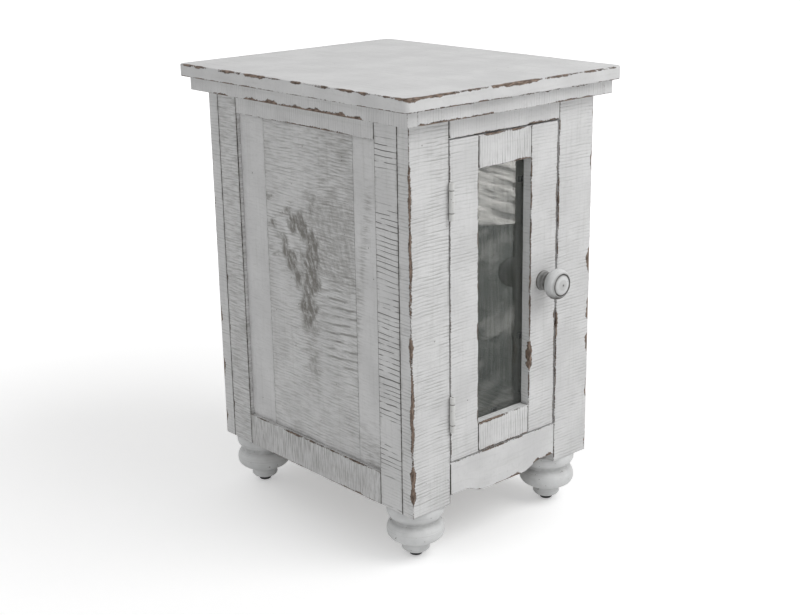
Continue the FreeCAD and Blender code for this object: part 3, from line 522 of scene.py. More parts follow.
def knotty(rings):
    """Share of the paint rubbed away: the ragged patches of a dark flame, and a smudge beside it."""
    across, height = rings[:, :, 1], rings[:, :, 2]
    rubbed = 0.76 * window(across, -95, -10, 30) * window(height, 380, 490, 40)
    rubbed = np.maximum(rubbed, 0.62 * window(across, -95, -25, 40) * window(height, 490, 580, 40))
    ragged = across + 4 * np.sin(height / 5 + across / 9)
    torn = height + 5 * np.sin(across / 5 + height / 17)
    for y, z, wide, tall, lean, strength in FIGURE:
        off = ((ragged - y - lean * (torn - z)) / wide) ** 2 + ((torn - z) / tall) ** 2
        rubbed = np.maximum(rubbed, strength * np.exp(-off))
    return np.clip(rubbed, 0.4, 1.1)


def washed(rings):
    """Deep ripples left by the saw, low down towards the front of the wide plank."""
    return window(rings[:, :, 1], -110, -50, 50) * window(rings[:, :, 2], 270, 360, 40)


def lightly_rubbed(rings):
    """An even light rub, for a board that shows its grain through the paint."""
    return np.full(rings.shape[:2], LIGHT_RUB)


def soft_streaks(rings):
    """A faint smudge down a plank that is otherwise smooth."""
    across, height = rings[:, :, 1], rings[:, :, 2]
    smudge = np.exp(-((across + 90 + 0.16 * (height - 260)) / 10) ** 2) * window(height, 270, 500, 40)
    corner = window(across, -160, -110, 30) * window(height, 100, 150, 60)
    return 0.15 + 0.45 * np.maximum(smudge, corner)


for side, inner, seed in (("left", "right", 30), ("right", "left", 50)):
    part = "side_%s_" % side
    front_stile, rear_stile = stiles = (part + "front_stile", part + "rear_stile")
    top_rail, bottom_rail = part + "top_rail", part + "bottom_rail"
    upright = {"sawn": 0.4, "unpainted": inner, "bare_edges": ("front", "back")}
    level = {"seams": {"ends": 1.6}, "unpainted": inner, "bare_edges": ("low", "high")}
    outer_joints = (side + " front", side + " back")
    rear_notches = {side + " back": [(128, 140, 0.6), (250, 262, 0.6), (330, 342, 0.5)]}
    low_wear = {"high " + side: [(-130, 60, 0.35)], "low " + side: [(-110, -60, 0.5), (20, 50, 0.5)]}
    board(front_stile, "z", *corners(front_stile), seed, None, outer_joints, kerfs=1.0, **upright)
    board(rear_stile, "z", *corners(rear_stile), seed + 1, rear_notches, outer_joints, kerfs=0.25,
          rubbed=lightly_rubbed, **upright)
    board(top_rail, "y", *between(top_rail, *stiles, "y"), seed + 2,
          {"low " + side: [(-90, 40, 0.35)]}, sawn=0.4, **level)
    board(bottom_rail, "y", *between(bottom_rail, *stiles, "y"), seed + 3, low_wear, sawn=0.95,
          kerfs=0.2, rubbed=lightly_rubbed, **level)
    front_edge, rear_edge = corners(front_stile)[1][1], corners(rear_stile)[0][1]
    foot, head = corners(bottom_rail)[1][2], corners(top_rail)[0][2]
    planks = [
        # saw marks, rub, ripples, and how dark the joints are at the front and the back
        ("front", 0.1, soft_streaks, None, 0.9, 0.5),
        ("centre", 0.85, knotty if side == "left" else soft_streaks, washed, 0.5, 0.5),
        ("rear", 0.05, soft_streaks, None, 0.5, 0.7),
    ]
    for step, (plank, sawn, rubbed, ripples, fore, aft) in enumerate(planks, start=4):
        node = part + "plank_" + plank
        low, high = corners(node)
        low[1:] = max(low[1], front_edge), foot
        high[1:] = min(high[1], rear_edge), head
        joints = {side + " front": fore, side + " back": aft, "ends": 1.0}
        board(node, "z", low, high, seed + step, None, joints, fill=4, rubbed=rubbed, washboard=ripples,
              faint=0, soft=0.5, **{**upright, "sawn": sawn})

# Back: the same frame as the sides with one thin panel, which is left in stained wood.
# Only the edge of its left stile shows from the front.
for side, inner, seed in (("left", "right", 71), ("right", "left", 72)):
    node = "back_stile_" + side
    notches = {side + " back": [(100, 120, 0.8), (170, 200, 0.9), (262, 290, 0.8), (380, 395, 0.6),
                                (440, 462, 0.8), (500, 516, 0.6)]}
    board(node, "z", *corners(node), seed, notches, (side + " front",), sawn=0.5, kerfs=0.15,
          unpainted="front", bare_edges=(inner,))
for node, seed in (("back_top_rail", 73), ("back_bottom_rail", 74)):
    board(node, "x", *between(node, "back_stile_left", "back_stile_right"), seed, None, ("ends",),
          sawn=0.7, kerfs=0.1, unpainted="front", bare_edges=("low", "high"))


def keep_solid(node, material):
    """Show a CAD node as it is, in a finish of the scene."""
    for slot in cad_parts[node].material_slots:
        slot.material = material


keep_solid("back_panel", bare["z"])

# Cornice: four square pine strips nailed round the head of the case, with the side strips
# running through to the front. The lower edges are worn to the wood in long streaks.
strip_wear = {
    "cornice_left": {"low left": [(-150, -30, 1.2), (-30, 100, 1.0), (140, 175, 0.6)],
                     "high left": [(-200, 200, 0.2)]},
    "cornice_right": {"low right": [(-60, 90, 0.6)], "high right": [(-200, 200, 0.2)]},
    "cornice_front": {"front low": [(-174, -90, 0.6), (-84, -40, 0.5), (60, 150, 0.4)],
                      "front high": [(-150, 0, 0.45), (0, 150, 0.6)]},
    "cornice_back": {"back low": [(-60, 20, 0.6)]},
}
for seed, (node, wear) in enumerate(strip_wear.items(), start=81):
    grain, seams = ("y", ()) if node in ("cornice_left", "cornice_right") else ("x", {"ends": 0.35})
    board(node, grain, *corners(node), seed, wear, seams, sawn=0.35, kerfs=0.06)

# Top: one slab glued up from pine, smooth and thickly painted, with rounded corners. It lies on
# the case and is screwed up through two cleats. Its upper edge is chipped all round.
SLAB_PITCH = 4
ARC_STEPS = 9
FACE_FAR = 12
FACE_RINGS = (0.35, 0.7, 0.98)
CORNER_ROUND = {"front left": 7, "front right": 13, "back right": 9, "back left": 8}
SLAB_RUNS = [
    # distance along the edge from the front left corner, anticlockwise from above
    (0, 64, 0.95), (64, 96, 0.5), (110, 128, 0.6), (150, 236, 0.95), (250, 300, 0.45),
    (330, 350, 0.4), (520, 600, 0.5), (960, 1010, 0.5), (1140, 1200, 0.6),
    (1310, 1350, 0.55), (1396, 1446, 0.9), (1458, 1500, 0.95), (1560, 1580, 0.6),
    (1616, 1634, 0.5), (1662, 1684, 0.75), (1700, 1716, 0.7), (1745, 1800, 0.6),
]
EDGE_LEVELS = [
    # share of the edge's round inward, share of it down or up, which edge, and distance from the arris
    (9, 0, "low", 9), (4, 0, "low", 4), (1.0, 0, "low", 0), (0.3, 0.3, "low", 0), (0, 1.0, "low", 0),
    (0, 2.6, "low", 2), (0, 5.5, "low", 5), (0, 4.0, "top", 5), (0, 1.9, "top", 1.6), (0, 1.0, "top", 0),
    (0.3, 0.3, "top", 0), (1.0, 0, "top", 0), (1.9, 0, "top", 1.6), (4, 0, "top", 5), (9, 0, "top", 12),
]
slab_low, slab_high = corners("top_slab")


def slab_outline():
    """Points round the slab, evenly spaced, with an arc at each corner."""
    (x0, y0), (x1, y1) = slab_low[:2], slab_high[:2]
    turns = [(x0, y0, "front left", 180), (x1, y0, "front right", 270),
             (x1, y1, "back right", 0), (x0, y1, "back left", 90)]
    path = []
    for x, y, name, angle in turns:
        round_by = CORNER_ROUND[name]
        cx = x + round_by if x == x0 else x - round_by
        cy = y + round_by if y == y0 else y - round_by
        for degrees in np.linspace(angle, angle + 90, ARC_STEPS):
            turn = math.radians(degrees)
            path.append((cx + round_by * math.cos(turn), cy + round_by * math.sin(turn)))
    path = np.array(path + path[:1])
    walk = walked(path)
    places = np.linspace(0, walk[-1], int(walk[-1] / SLAB_PITCH) + 1)[:-1]
    return places, np.stack([np.interp(places, walk, path[:, k]) for k in (0, 1)], axis=1)


def read_all(items, key, width=1, kind=float):
    """A row of values from each item of a mesh."""
    values = np.zeros(len(items) * width, kind)
    items.foreach_get(key, values)
    return values.reshape(-1, width)


places, outline = slab_outline()
top_worn = wear_along(places, SLAB_RUNS, 0.12, 91)
low_worn = wear_along(places, [(20, 180, 0.3), (1300, 1500, 0.3)], 0.12, 92)
top_round = 1.4 + 0.5 * drift(places, 35, 93) + 2.6 * top_worn * (0.5 + 0.5 * drift(places, 9, 94))
low_round = 0.9 + 1.2 * low_worn
centre = (slab_low + slab_high)[:2] / 2
half = (slab_high - slab_low)[:2] / 2
levels = []
for inward, rise, which, far in EDGE_LEVELS:
    round_by, worn = (top_round, top_worn) if which == "top" else (low_round, low_worn)
    pull = np.where(inward > 1, round_by + inward, round_by * inward)
    lift = np.where(rise > 1, round_by + rise - 1, round_by * rise)
    flat = centre + (outline - centre) * (1 - pull[:, None] / half)
    height = slab_high[2] - lift if which == "top" else slab_low[2] + lift
    levels.append((np.column_stack((flat, height)), far, worn))
rim = levels[-1][0][:, :2]
for share in FACE_RINGS:
    flat = rim + (centre - rim) * share
    levels.insert(0, (np.column_stack((flat, np.full(len(flat), slab_low[2]))), FACE_FAR, low_worn))
    levels.append((np.column_stack((flat, np.full(len(flat), slab_high[2]))), FACE_FAR, top_worn))
slab_fields = dict.fromkeys(FIELDS, 0.0)
slab_fields["edge_mm"] = np.array([np.full(len(places), level[1]) for level in levels])
slab_fields["worn"] = np.array([level[2] for level in levels])
slab = skin("top_slab_painted", np.array([level[0] for level in levels]), slab_fields, 90)
layer = slab.data.uv_layers["grain"]
loops = read_all(slab.data.loops, "vertex_index", 1, np.int32)[:, 0]
on_face = read_all(slab.data.vertices, "co", 3)[loops][:, [1, 0]]
round_rim = read_all(layer.data, "uv", 2)[:, ::-1]
row = np.arange(len(loops)) // (4 * len(places))
flat_row = (row < len(FACE_RINGS)) | (row >= len(levels) - 1 - len(FACE_RINGS))
layer.data.foreach_set("uv", np.where(flat_row[:, None], on_face, round_rim).ravel())
settle(slab, "cabinet", "white_paint", "top_slab")
keep_solid("top_cleats", bare["y"])

# Floor of the case: a stained board on two cleats, with a block in each corner below it.
# The tenons of the feet are glued into the blocks.
for node, grain in (("floor_panel", "y"), ("floor_cleats", "y"), ("foot_blocks", "z")):
    keep_solid(node, bare[grain])

# Feet: four turned pine buns, each with a bead and a narrow ankle, painted white with dark wax
# left in the grooves. A tenon on each goes up into its corner block.
FOOT_PROFILE = [(0, 79, 0), (38.6, 79, 0.38), (35, 60.6, 0), (33.4, 59.2, -0.2), (33.4, 55, 0),
                (35.2, 53.8, 0.24), (40.5, 39, 0.252), (34.2, 28.7, 0.148), (19.2, 24.4, -0.08),
                (19.8, 12.5, 0.34), (10.5, 7.2, 0), (0, 7.2, 0)]
FOOT_GROOVES = [(33.8, 57, 5.5, 0.6), (19, 24.4, 3, 0.9), (11, 7.2, 3, 0.8)]
FOOT_SPOTS = [(x, y, 0) for x in (-134, 134) for y in (-176, 176)]
FOOT_SIDES = 96
LATHE_CORE = 1.0
WELD_GAP = 0.01
SPOT_INPUTS = {"Spots": "Geometry", "Profile": "Object", "Segments": "Int", "Finish": "Material"}
SPOT_NODES = {
    "given": ("NodeGroupInput", {}),
    "result": ("NodeGroupOutput", {}),
    "source": ("GeometryNodeObjectInfo", {}),
    "line": ("GeometryNodeMeshToCurve", {}),
    "circle": ("GeometryNodeCurvePrimitiveCircle", {"Radius": LATHE_CORE * MM}),
    "sweep": ("GeometryNodeCurveToMesh", {}),
    "weld": ("GeometryNodeMergeByDistance", {"Distance": WELD_GAP * MM}),
    "copies": ("GeometryNodeInstanceOnPoints", {}),
    "real": ("GeometryNodeRealizeInstances", {}),
    "finish": ("GeometryNodeSetMaterial", {}),
}
SPOT_LINKS = [
    ("given", "Profile", "source", "Object"), ("source", "Geometry", "line", "Mesh"),
    ("given", "Segments", "circle", "Resolution"), ("circle", "Curve", "sweep", "Curve"),
    ("line", "Curve", "sweep", "Profile Curve"), ("sweep", "Mesh", "weld", "Geometry"),
    ("given", "Spots", "copies", "Points"), ("copies", "Instances", "real", "Geometry"),
    ("real", "Geometry", "finish", "Geometry"), ("given", "Finish", "finish", "Material"),
    ("finish", "Geometry", "result", "Shape"),
]


def spot_tree(name, inputs, nodes, links):
    """Tree that turns a profile on the lathe and puts a copy on each spot. The tables add what it
    has beyond that: inputs, nodes with their settings, and links from socket to socket."""
    tree = bpy.data.node_groups.new(name, "GeometryNodeTree")
    for label, kind in {**SPOT_INPUTS, **inputs}.items():
        tree.interface.new_socket(label, in_out="INPUT", socket_type="NodeSocket" + kind)
    tree.interface.new_socket("Shape", in_out="OUTPUT", socket_type="NodeSocketGeometry")
    made = {}
    for key, (kind, settings) in {**SPOT_NODES, **nodes}.items():
        made[key] = tree.nodes.new(kind)
        for setting, value in settings.items():
            if isinstance(setting, int) or setting in made[key].inputs:
                made[key].inputs[setting].default_value = value
            else:
                setattr(made[key], setting, value)
    for source, output, target, socket in SPOT_LINKS + links:
        tree.links.new(made[source].outputs[output], made[target].inputs[socket])
    return tree


def turned_line(stations, pitch):
    """Points down a turned profile of radius, height and bulge. The bulge is that of the arc to
    the next station: the tangent of a quarter of its angle, outward if positive."""
    made = []
    for (r0, z0, bulge), (r1, z1, _) in zip(stations, stations[1:]):
        run = np.array((r1 - r0, z1 - z0), float)
        chord = np.linalg.norm(run)
        along = run / chord
        outward = np.array((-along[1], along[0]))
        number = max(1, int(chord * (1 + abs(bulge)) / pitch))
        share = np.arange(number) / number
        middle = np.array((r0 + r1, z0 + z1)) / 2
        if abs(bulge) < 1e-6:
            made.extend((np.array((r0, z0)) + run * part) for part in share)
            continue
        half = 2 * math.atan(abs(bulge))
        radius = chord / 2 / math.sin(half)
        for angle in half * (2 * share - 1):
            rise = radius * (math.cos(angle) - math.cos(half)) * math.copysign(1, bulge)
            made.append(middle + along * radius * math.sin(angle) + outward * rise)
    made.append(np.array(stations[-1][:2], float))
    return np.array(made)


def point_object(name, points, edges=(), **fields):
    """Object of loose points or a line, in millimetres, with a value at each point."""
    mesh = bpy.data.meshes.new(name)
    mesh.from_pydata((np.array(points, float) * MM).tolist(), list(edges), [])
    for field, values in fields.items():
        values = np.array(values, np.float32)
        kind, key = ("FLOAT_VECTOR", "vector") if values.ndim == 2 else ("FLOAT", "value")
        made = mesh.attributes.new(field, kind, "POINT")
        made.data.foreach_set(key, values.ravel())
    return put(name, mesh)


def glaze_near(line, wax_and_shade_spots):
    """Share of dark wax, and of painted shade on the knob, at each point of a profile, from its distance to
    the listed spots.
    """
    share = np.zeros(len(line))
    for r, z, reach, most in wax_and_shade_spots:
        far = np.hypot(line[:, 0] - r, line[:, 1] - z)
        share = np.maximum(share, most * np.exp(-(far / reach) ** 2))
    return share


def grow(piece, tree, stations, pitch, wax_and_shade_spots=(), **inputs):
    """Run a tree on a piece's spots with a turned profile, and keep the result as its plain mesh."""
    line = turned_line(stations, pitch)
    flat = np.column_stack((line[:, 0] - LATHE_CORE, -line[:, 1], np.zeros(len(line))))
    edges = [(n, n + 1) for n in range(len(line) - 1)]
    profile = point_object("profile", flat, edges, glaze=glaze_near(line, wax_and_shade_spots))
    modifier = piece.modifiers.new("shape", "NODES")
    modifier.node_group = tree
    inputs["Profile"] = profile
    for item in tree.interface.items_tree:
        key = item.name.replace(" ", "_")
        if item.in_out == "INPUT" and key in inputs:
            modifier[item.identifier] = inputs[key]
    bpy.context.view_layer.update()
    graph = bpy.context.evaluated_depsgraph_get()
    mesh = bpy.data.meshes.new_from_object(piece.evaluated_get(graph))
    piece.modifiers.clear()
    piece.data = mesh
    shell = bmesh.new()
    shell.from_mesh(mesh)
    bmesh.ops.remove_doubles(shell, verts=shell.verts, dist=0.002 * MM)
    bmesh.ops.recalc_face_normals(shell, faces=shell.faces)
    shell.to_mesh(mesh)
    shell.free()
    bpy.data.objects.remove(profile)


def turned_paint(name, sizes, least_wax_and_shade, most_wax_and_shade):
    """Chalk paint on a turned piece: fine rings from the gouge, and dark wax in its grooves, which on the
    knob also paints the shade of its stem and under its head.
    """
    paint = Finish(name, Specular_IOR_Level=0.3)
    place = paint.place()
    cloud = paint.noise(place, 26, 4)
    rings = paint.drawn_out(place, sizes, 3)
    wax_and_shade_amount = paint.ramp(paint.noise(place, 9, 3), 0.25, 0.6, least_wax_and_shade, most_wax_and_shade)
    chip = paint.ramp(paint.noise(place, 8, 5, 0.62), 0.66, 0.7)
    colour = paint.coats(
        paint.blend(paint.ramp(cloud, 0.3, 0.7), (212, 213, 213), (228, 229, 229)),
        (paint.ramp(rings, 0.52, 0.75, 0, 0.3), (160, 159, 155)),
        (paint.times(paint.field("glaze"), wax_and_shade_amount), (74, 71, 67)),
        (paint.times(paint.specks(place, 12, 0.9, 0.3), 0.7), (88, 82, 76)),
        (chip, (104, 94, 85)))
    paint.set(Base_Color=colour, Roughness=paint.ramp(cloud, 0.3, 0.7, 0.5, 0.68))
    grain = paint.noise(place, 3, 4, 0.6)
    paint.relief(paint.add_up(paint.times(rings, 0.5), (chip, -1.0), (grain, 0.3)), 0.4)
    return paint.material


lathe = spot_tree("turning", {"Axis turn": "Rotation"}, {"smooth": ("GeometryNodeSetShadeSmooth", {})}, [
    ("weld", "Geometry", "smooth", "Geometry"), ("smooth", "Geometry", "copies", "Instance"),
    ("given", "Axis turn", "copies", "Rotation")])
foot_paint = turned_paint("foot_paint", (60, 60, 1.3), 0.25, 0.5)
feet = point_object("feet", FOOT_SPOTS)
grow(feet, lathe, FOOT_PROFILE, 0.8, FOOT_GROOVES, Segments=FOOT_SIDES, Finish=foot_paint)
settle(feet, "cabinet", "white_paint", "foot_front_left", "foot_front_right", "foot_rear_left",
       "foot_rear_right")

# Glides: a domed black nylon stud nailed under each foot, scuffed where it meets the floor.
# The four are one piece, turned on the same lathe as the feet.
GLIDE_PROFILE = [(0, 7.8, 0), (9.6, 7.8, 0), (9.6, 3, 0.3), (6, 0.3, 0.05), (0, 0.1, 0)]
GLIDE_SIDES = 64
plastic = Finish("black_nylon", Specular_IOR_Level=0.4)
plastic_place = plastic.place()
scuff = plastic.ramp(plastic.noise(plastic_place, 5, 4, 0.6), 0.55, 0.75, 0, 0.5)
plastic.set(Base_Color=plastic.blend(scuff, (22, 22, 22), (58, 57, 56)),
            Roughness=plastic.ramp(scuff, 0, 0.5, 0.38, 0.6))
plastic.relief(plastic.noise(plastic_place, 0.6, 2), 0.05)
glides = point_object("glide_studs", FOOT_SPOTS)
grow(glides, lathe, GLIDE_PROFILE, 0.5, Segments=GLIDE_SIDES, Finish=plastic.material)
settle(glides, "cabinet", "black_plastic", "glides")

# Door frame: two stiles and two rails of pine, tenoned, with a rebate behind for the glass.
# The saw marks run up and down on the rails and across the stiles, as each piece was sawn.
REBATE_LIP = 8
GLASS_FRONT = -201
door_stiles = ("door_hinge_stile", "door_latch_stile")
(door_left, front, door_foot), (jamb_left, _, _) = corners("door_hinge_stile")
(jamb_right, _, _), (door_right, back, door_head) = corners("door_latch_stile")
sill = corners("door_bottom_rail")[1][2]
lintel = corners("door_top_rail")[0][2]
hinge_section = [(door_left, front), (jamb_left, front), (jamb_left, GLASS_FRONT),
                 (jamb_left - REBATE_LIP, GLASS_FRONT), (jamb_left - REBATE_LIP, back),
                 (door_left, back)]
latch_section = [(jamb_right, front), (door_right, front), (door_right, back),
                 (jamb_right + REBATE_LIP, back), (jamb_right + REBATE_LIP, GLASS_FRONT),
                 (jamb_right, GLASS_FRONT)]
top_section = [(front, lintel), (GLASS_FRONT, lintel), (GLASS_FRONT, lintel + REBATE_LIP),
               (back, lintel + REBATE_LIP), (back, door_head), (front, door_head)]
low_section = [(front, door_foot), (back, door_foot), (back, sill - REBATE_LIP),
               (GLASS_FRONT, sill - REBATE_LIP), (GLASS_FRONT, sill), (front, sill)]
hinge_wear = {"right front": [(184, 541, 0.3), (300, 330, 0.45)], "left front": [(142, 585, 0.12)]}
latch_wear = {"right front": [(142, 345, 0.2), (219, 314, 0.4), (385, 585, 0.2), (440, 510, 0.35)],
              "left front": [(184, 541, 0.34), (238, 280, 1.5)]}
top_wear = {"front high": [(-40, 40, 0.5)], "front low": [(10, 50, 0.45)]}
low_wear = {"front high": [(-52, 5, 0.6)], "front low": [(-52, 50, 0.35)]}
for node, seed, wear, section in (("door_hinge_stile", 101, hinge_wear, hinge_section),
                                  ("door_latch_stile", 102, latch_wear, latch_section)):
    board(node, "z", *corners(node), seed, wear, section=section, sawn=0.6, body="door")
for node, seed, wear, section in (("door_top_rail", 103, top_wear, top_section),
                                  ("door_bottom_rail", 104, low_wear, low_section)):
    board(node, "x", *between(node, *door_stiles), seed, wear, RAIL_JOINT, section=section, sawn=0.9,
          body="door")

# Glass: one pane of drawn window glass in the rebate, dulled a little by a film of dust. It casts
# no shadow, so the lamp lights the room behind it. Six black clips screwed to the door hold it.
FLAT_ANGLE, SHARP_ANGLE, CREASE_ANGLE = (math.radians(angle) for angle in (1, 40, 50))
glass = Finish("drawn_glass", Transmission_Weight=0.976, IOR=1.52, Specular_IOR_Level=0.5)
glass_place = glass.place()
smear = glass.noise(glass_place, 55, 4)
glass.set(Base_Color=glass.blend(smear, (226, 234, 229), (240, 245, 242)),
          Roughness=glass.ramp(smear, 0.45, 0.75, 0.0, 0.03))
glass.relief(glass.drawn_out(glass_place, (60, 60, 110), 1), 0.12)
keep_solid("door_glass", glass.material)
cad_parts["door_glass"].visible_shadow = False


def eased(node, ease, material, body, slot):
    """Copy of a CAD node with its sharp edges eased, which stands for it."""
    shell = bmesh.new()
    shell.from_mesh(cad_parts[node].data)
    bmesh.ops.remove_doubles(shell, verts=shell.verts, dist=0.001 * MM)
    bmesh.ops.dissolve_limit(shell, angle_limit=FLAT_ANGLE, verts=shell.verts, edges=shell.edges)
    sharp = [edge for edge in shell.edges if edge.is_manifold and edge.calc_face_angle() > SHARP_ANGLE]
    bmesh.ops.bevel(shell, geom=sharp, offset=ease * MM, segments=2, profile=0.5, affect="EDGES",
                    clamp_overlap=True)
    bmesh.ops.recalc_face_normals(shell, faces=shell.faces)
    for face in shell.faces:
        face.smooth = True
    mesh = bpy.data.meshes.new(node + "_eased")
    shell.to_mesh(mesh)
    shell.free()
    mesh.set_sharp_from_angle(angle=CREASE_ANGLE)
    mesh.materials.append(material)
    settle(put(node + "_eased", mesh), body, slot, node)


eased("glass_clips", 0.4, plastic.material, "door", "black_plastic")

# Knob: a turned pine pull with a straight stem, a round head and a ring cut in its face, painted
# and waxed. Its stem, the stem's foot and the underside of its head are darkened as painted shade.
# One screw through the latch stile holds it from behind.
KNOB_RADIUS = 21.5
KNOB_RING = 15.2
KNOB_SIDES = 96
KNOB_SPOT = (75.5, front, 363.5)
KNOB_PROFILE = [(0, 0, 0), (14.2, 0, 0), (14, 2.5, 0.1), (13.2, 7, 0), (13.2, 13.5, 0.3), (15, 17, -0.3),
                (KNOB_RADIUS, 26.5, -0.26), (16.8, 36.3, 0), (16.2, 36.3, 0), (KNOB_RING, 34.2, 0),
                (13.8, 36.3, -0.06), (1.3, 38.4, 0), (0, 37.2, 0)]
# Where the knob is darkened: dark wax in the ring groove and the centre dot; on the stem, at its foot against
# the door and under the head, painted shade with some wax.
KNOB_WAX_AND_SHADE = [(14, 0, 4, 1.0), (13.2, 7, 6, 0.85), (13.2, 13.5, 5, 1.0), (16, 18, 3.5, 0.8),
                (KNOB_RING, 35, 2.3, 1.0), (0, 37.6, 1.8, 1.0)]
knob_paint = turned_paint("knob_paint", (50, 1.2, 50), 0.75, 1.0)
knob = point_object("knob_turning", [KNOB_SPOT])
grow(knob, lathe, KNOB_PROFILE, 0.6, KNOB_WAX_AND_SHADE, Segments=KNOB_SIDES, Axis_turn=(math.pi / 2, 0, 0),
     Finish=knob_paint)
# Painted shade: the lower half of the head, outside the ring, darkens towards the bottom in the wax colour.
off_axis = read_all(knob.data.vertices, "co", 3)[:, [0, 2]] / MM - np.array(KNOB_SPOT)[[0, 2]]
outer = np.clip((np.hypot(*off_axis.T) - KNOB_RING) / 2, 0, 1)
below = np.clip(-off_axis[:, 1] / KNOB_RADIUS, 0, 1)
knob_wax_and_shade = knob.data.attributes["glaze"].data
painted_underside_shade = np.minimum(1.5 * outer * below ** 2, 1)
knob_wax_and_shade.foreach_set("value", np.maximum(read_all(knob_wax_and_shade, "value")[:, 0], painted_underside_shade))
settle(knob, "door", "white_paint", "door_knob")

bright_steel = Finish("bright_steel", Metallic=1.0)
steel_place = bright_steel.place()
bloom = bright_steel.ramp(bright_steel.noise(steel_place, 6, 4), 0.35, 0.7)
scratch = bright_steel.drawn_out(steel_place, (0.3, 6, 6))
bright_steel.set(Base_Color=bright_steel.blend(bloom, (176, 175, 172), (122, 120, 116)),
                 Roughness=bright_steel.ramp(scratch, 0.3, 0.7, 0.28, 0.46))
bright_steel.relief(scratch, 0.03)
eased("knob_screw", 0.4, bright_steel.material, "door", "bare_steel")

# Hinges: two butt hinges of three knuckles, let into the edges of the stile and the door, and
# painted over with the rest. The paint has cracked off the knuckles, and the pins are bare.
KNUCKLE_SPLITS = (197.5, 227.5, 491, 521)
BARREL_BACK = (-217.2, -216.3)
hinge_paint = Finish("hinge_paint", Specular_IOR_Level=0.4)
hinge_place = hinge_paint.place()
hinge_cloud = hinge_paint.noise(hinge_place, 9, 4)
crack = hinge_paint.ramp(hinge_paint.noise(hinge_place, 4, 5, 0.65), 0.64, 0.68)
_, hinge_depth, hinge_height = hinge_paint.node("SeparateXYZ", [hinge_place])
# Painted shade: the back of the barrel, where it goes into the gap, and the splits between the knuckles are
# darkened.
hinge_gap_shade = hinge_paint.ramp(hinge_depth, *BARREL_BACK)
for split in KNUCKLE_SPLITS:
    off_split = hinge_paint.calc("ABSOLUTE", hinge_paint.calc("SUBTRACT", hinge_height, split))
    hinge_gap_shade = hinge_paint.calc("MAXIMUM", hinge_gap_shade, hinge_paint.ramp(off_split, 0.35, 0.8, 1, 0))
hinge_colour = hinge_paint.coats(
    hinge_paint.blend(hinge_cloud, (206, 206, 204), (226, 226, 224)),
    (crack, (98, 92, 84)), (hinge_paint.times(hinge_gap_shade, 0.8), (78, 75, 70)))
hinge_paint.set(Base_Color=hinge_colour, Roughness=hinge_paint.ramp(crack, 0, 1, 0.5, 0.38))
hinge_paint.relief(hinge_paint.add_up(hinge_cloud, (crack, -1.0)), 0.2)
for level in ("upper", "lower"):
    eased("hinge_%s_frame_leaf" % level, 0.35, hinge_paint.material, "cabinet", "painted_hinge")
    eased("hinge_%s_door_leaf" % level, 0.35, hinge_paint.material, "door", "painted_hinge")
    eased("hinge_%s_pin" % level, 0.3, bright_steel.material, "cabinet", "bare_steel")

# Catch: a magnet in a black housing behind the head rail, and a steel strike on the door.
# The screws of hinges, clips, catch and strike are alike: countersunk, with a cross recess.
SCREW_PROFILE = [(0, -9, 0), (0.9, -8.4, 0), (1.5, -7, 0), (1.5, -2, 0), (2.9, -0.45, 0),
                 (3, -0.2, 0), (2.9, -0.05, 0), (2.4, 0, 0), (0, 0, 0)]
SCREW_SIDES = 24
SCREW_SEED = 7
RECESS = {"Recess_width": 0.7 * MM, "Recess_span": 3.2 * MM, "Recess_depth": 2.4 * MM}
HINGE_ROWS = [height + offset for height in (506, 212.5) for offset in (-15, 15)]
magnet = Finish("ferrite", Specular_IOR_Level=0.5)
magnet_grain = magnet.noise(magnet.place(), 1.2, 3)
magnet.set(Base_Color=magnet.blend(magnet_grain, (48, 47, 46), (78, 77, 75)),
           Roughness=magnet.ramp(magnet_grain, 0.3, 0.7, 0.5, 0.7))
magnet.relief(magnet_grain, 0.05)
eased("catch_housing", 0.5, plastic.material, "cabinet", "black_plastic")
eased("catch_magnet", 0.3, magnet.material, "cabinet", "magnet")
eased("strike_plate", 0.25, bright_steel.material, "door", "bare_steel")

# each screw is driven along its own aim and left at a turn of its own
screw_nodes = {
    "cut": ("GeometryNodeMeshBoolean", {"operation": "DIFFERENCE"}),
    "aim": ("GeometryNodeInputNamedAttribute", {"data_type": "FLOAT_VECTOR", "Name": "aim"}),
    "face": ("FunctionNodeAlignRotationToVector", {"axis": "Z"}),
    "chance": ("FunctionNodeRandomValue", {"data_type": "FLOAT", 3: math.tau}),
    "spin": ("FunctionNodeAxisAngleToRotation", {"Axis": (0, 0, 1)}),
    "turn": ("FunctionNodeRotateRotation", {"rotation_space": "LOCAL"}),
}
screw_links = [
    ("weld", "Geometry", "cut", "Mesh 1"), ("aim", "Attribute", "face", "Vector"),
    ("given", "Seed", "chance", "Seed"), ("chance", 1, "spin", "Angle"),
    ("face", "Rotation", "turn", "Rotation"), ("spin", "Rotation", "turn", "Rotate By"),
    ("turn", "Rotation", "copies", "Rotation"), ("cut", "Mesh", "copies", "Instance"),
]
for way, (first, second) in {"long": ("span", "width"), "cross": ("width", "span")}.items():
    screw_nodes[way + " size"] = ("ShaderNodeCombineXYZ", {})
    screw_nodes[way + " slot"] = ("GeometryNodeMeshCube", {})
    for axis, measure in (("X", first), ("Y", second), ("Z", "depth")):
        screw_links.append(("given", "Recess " + measure, way + " size", axis))
    screw_links += [(way + " size", 0, way + " slot", "Size"), (way + " slot", "Mesh", "cut", "Mesh 2")]
screw_inputs = {"Recess width": "Float", "Recess span": "Float", "Recess depth": "Float", "Seed": "Int"}
driven = spot_tree("screws", screw_inputs, screw_nodes, screw_links)
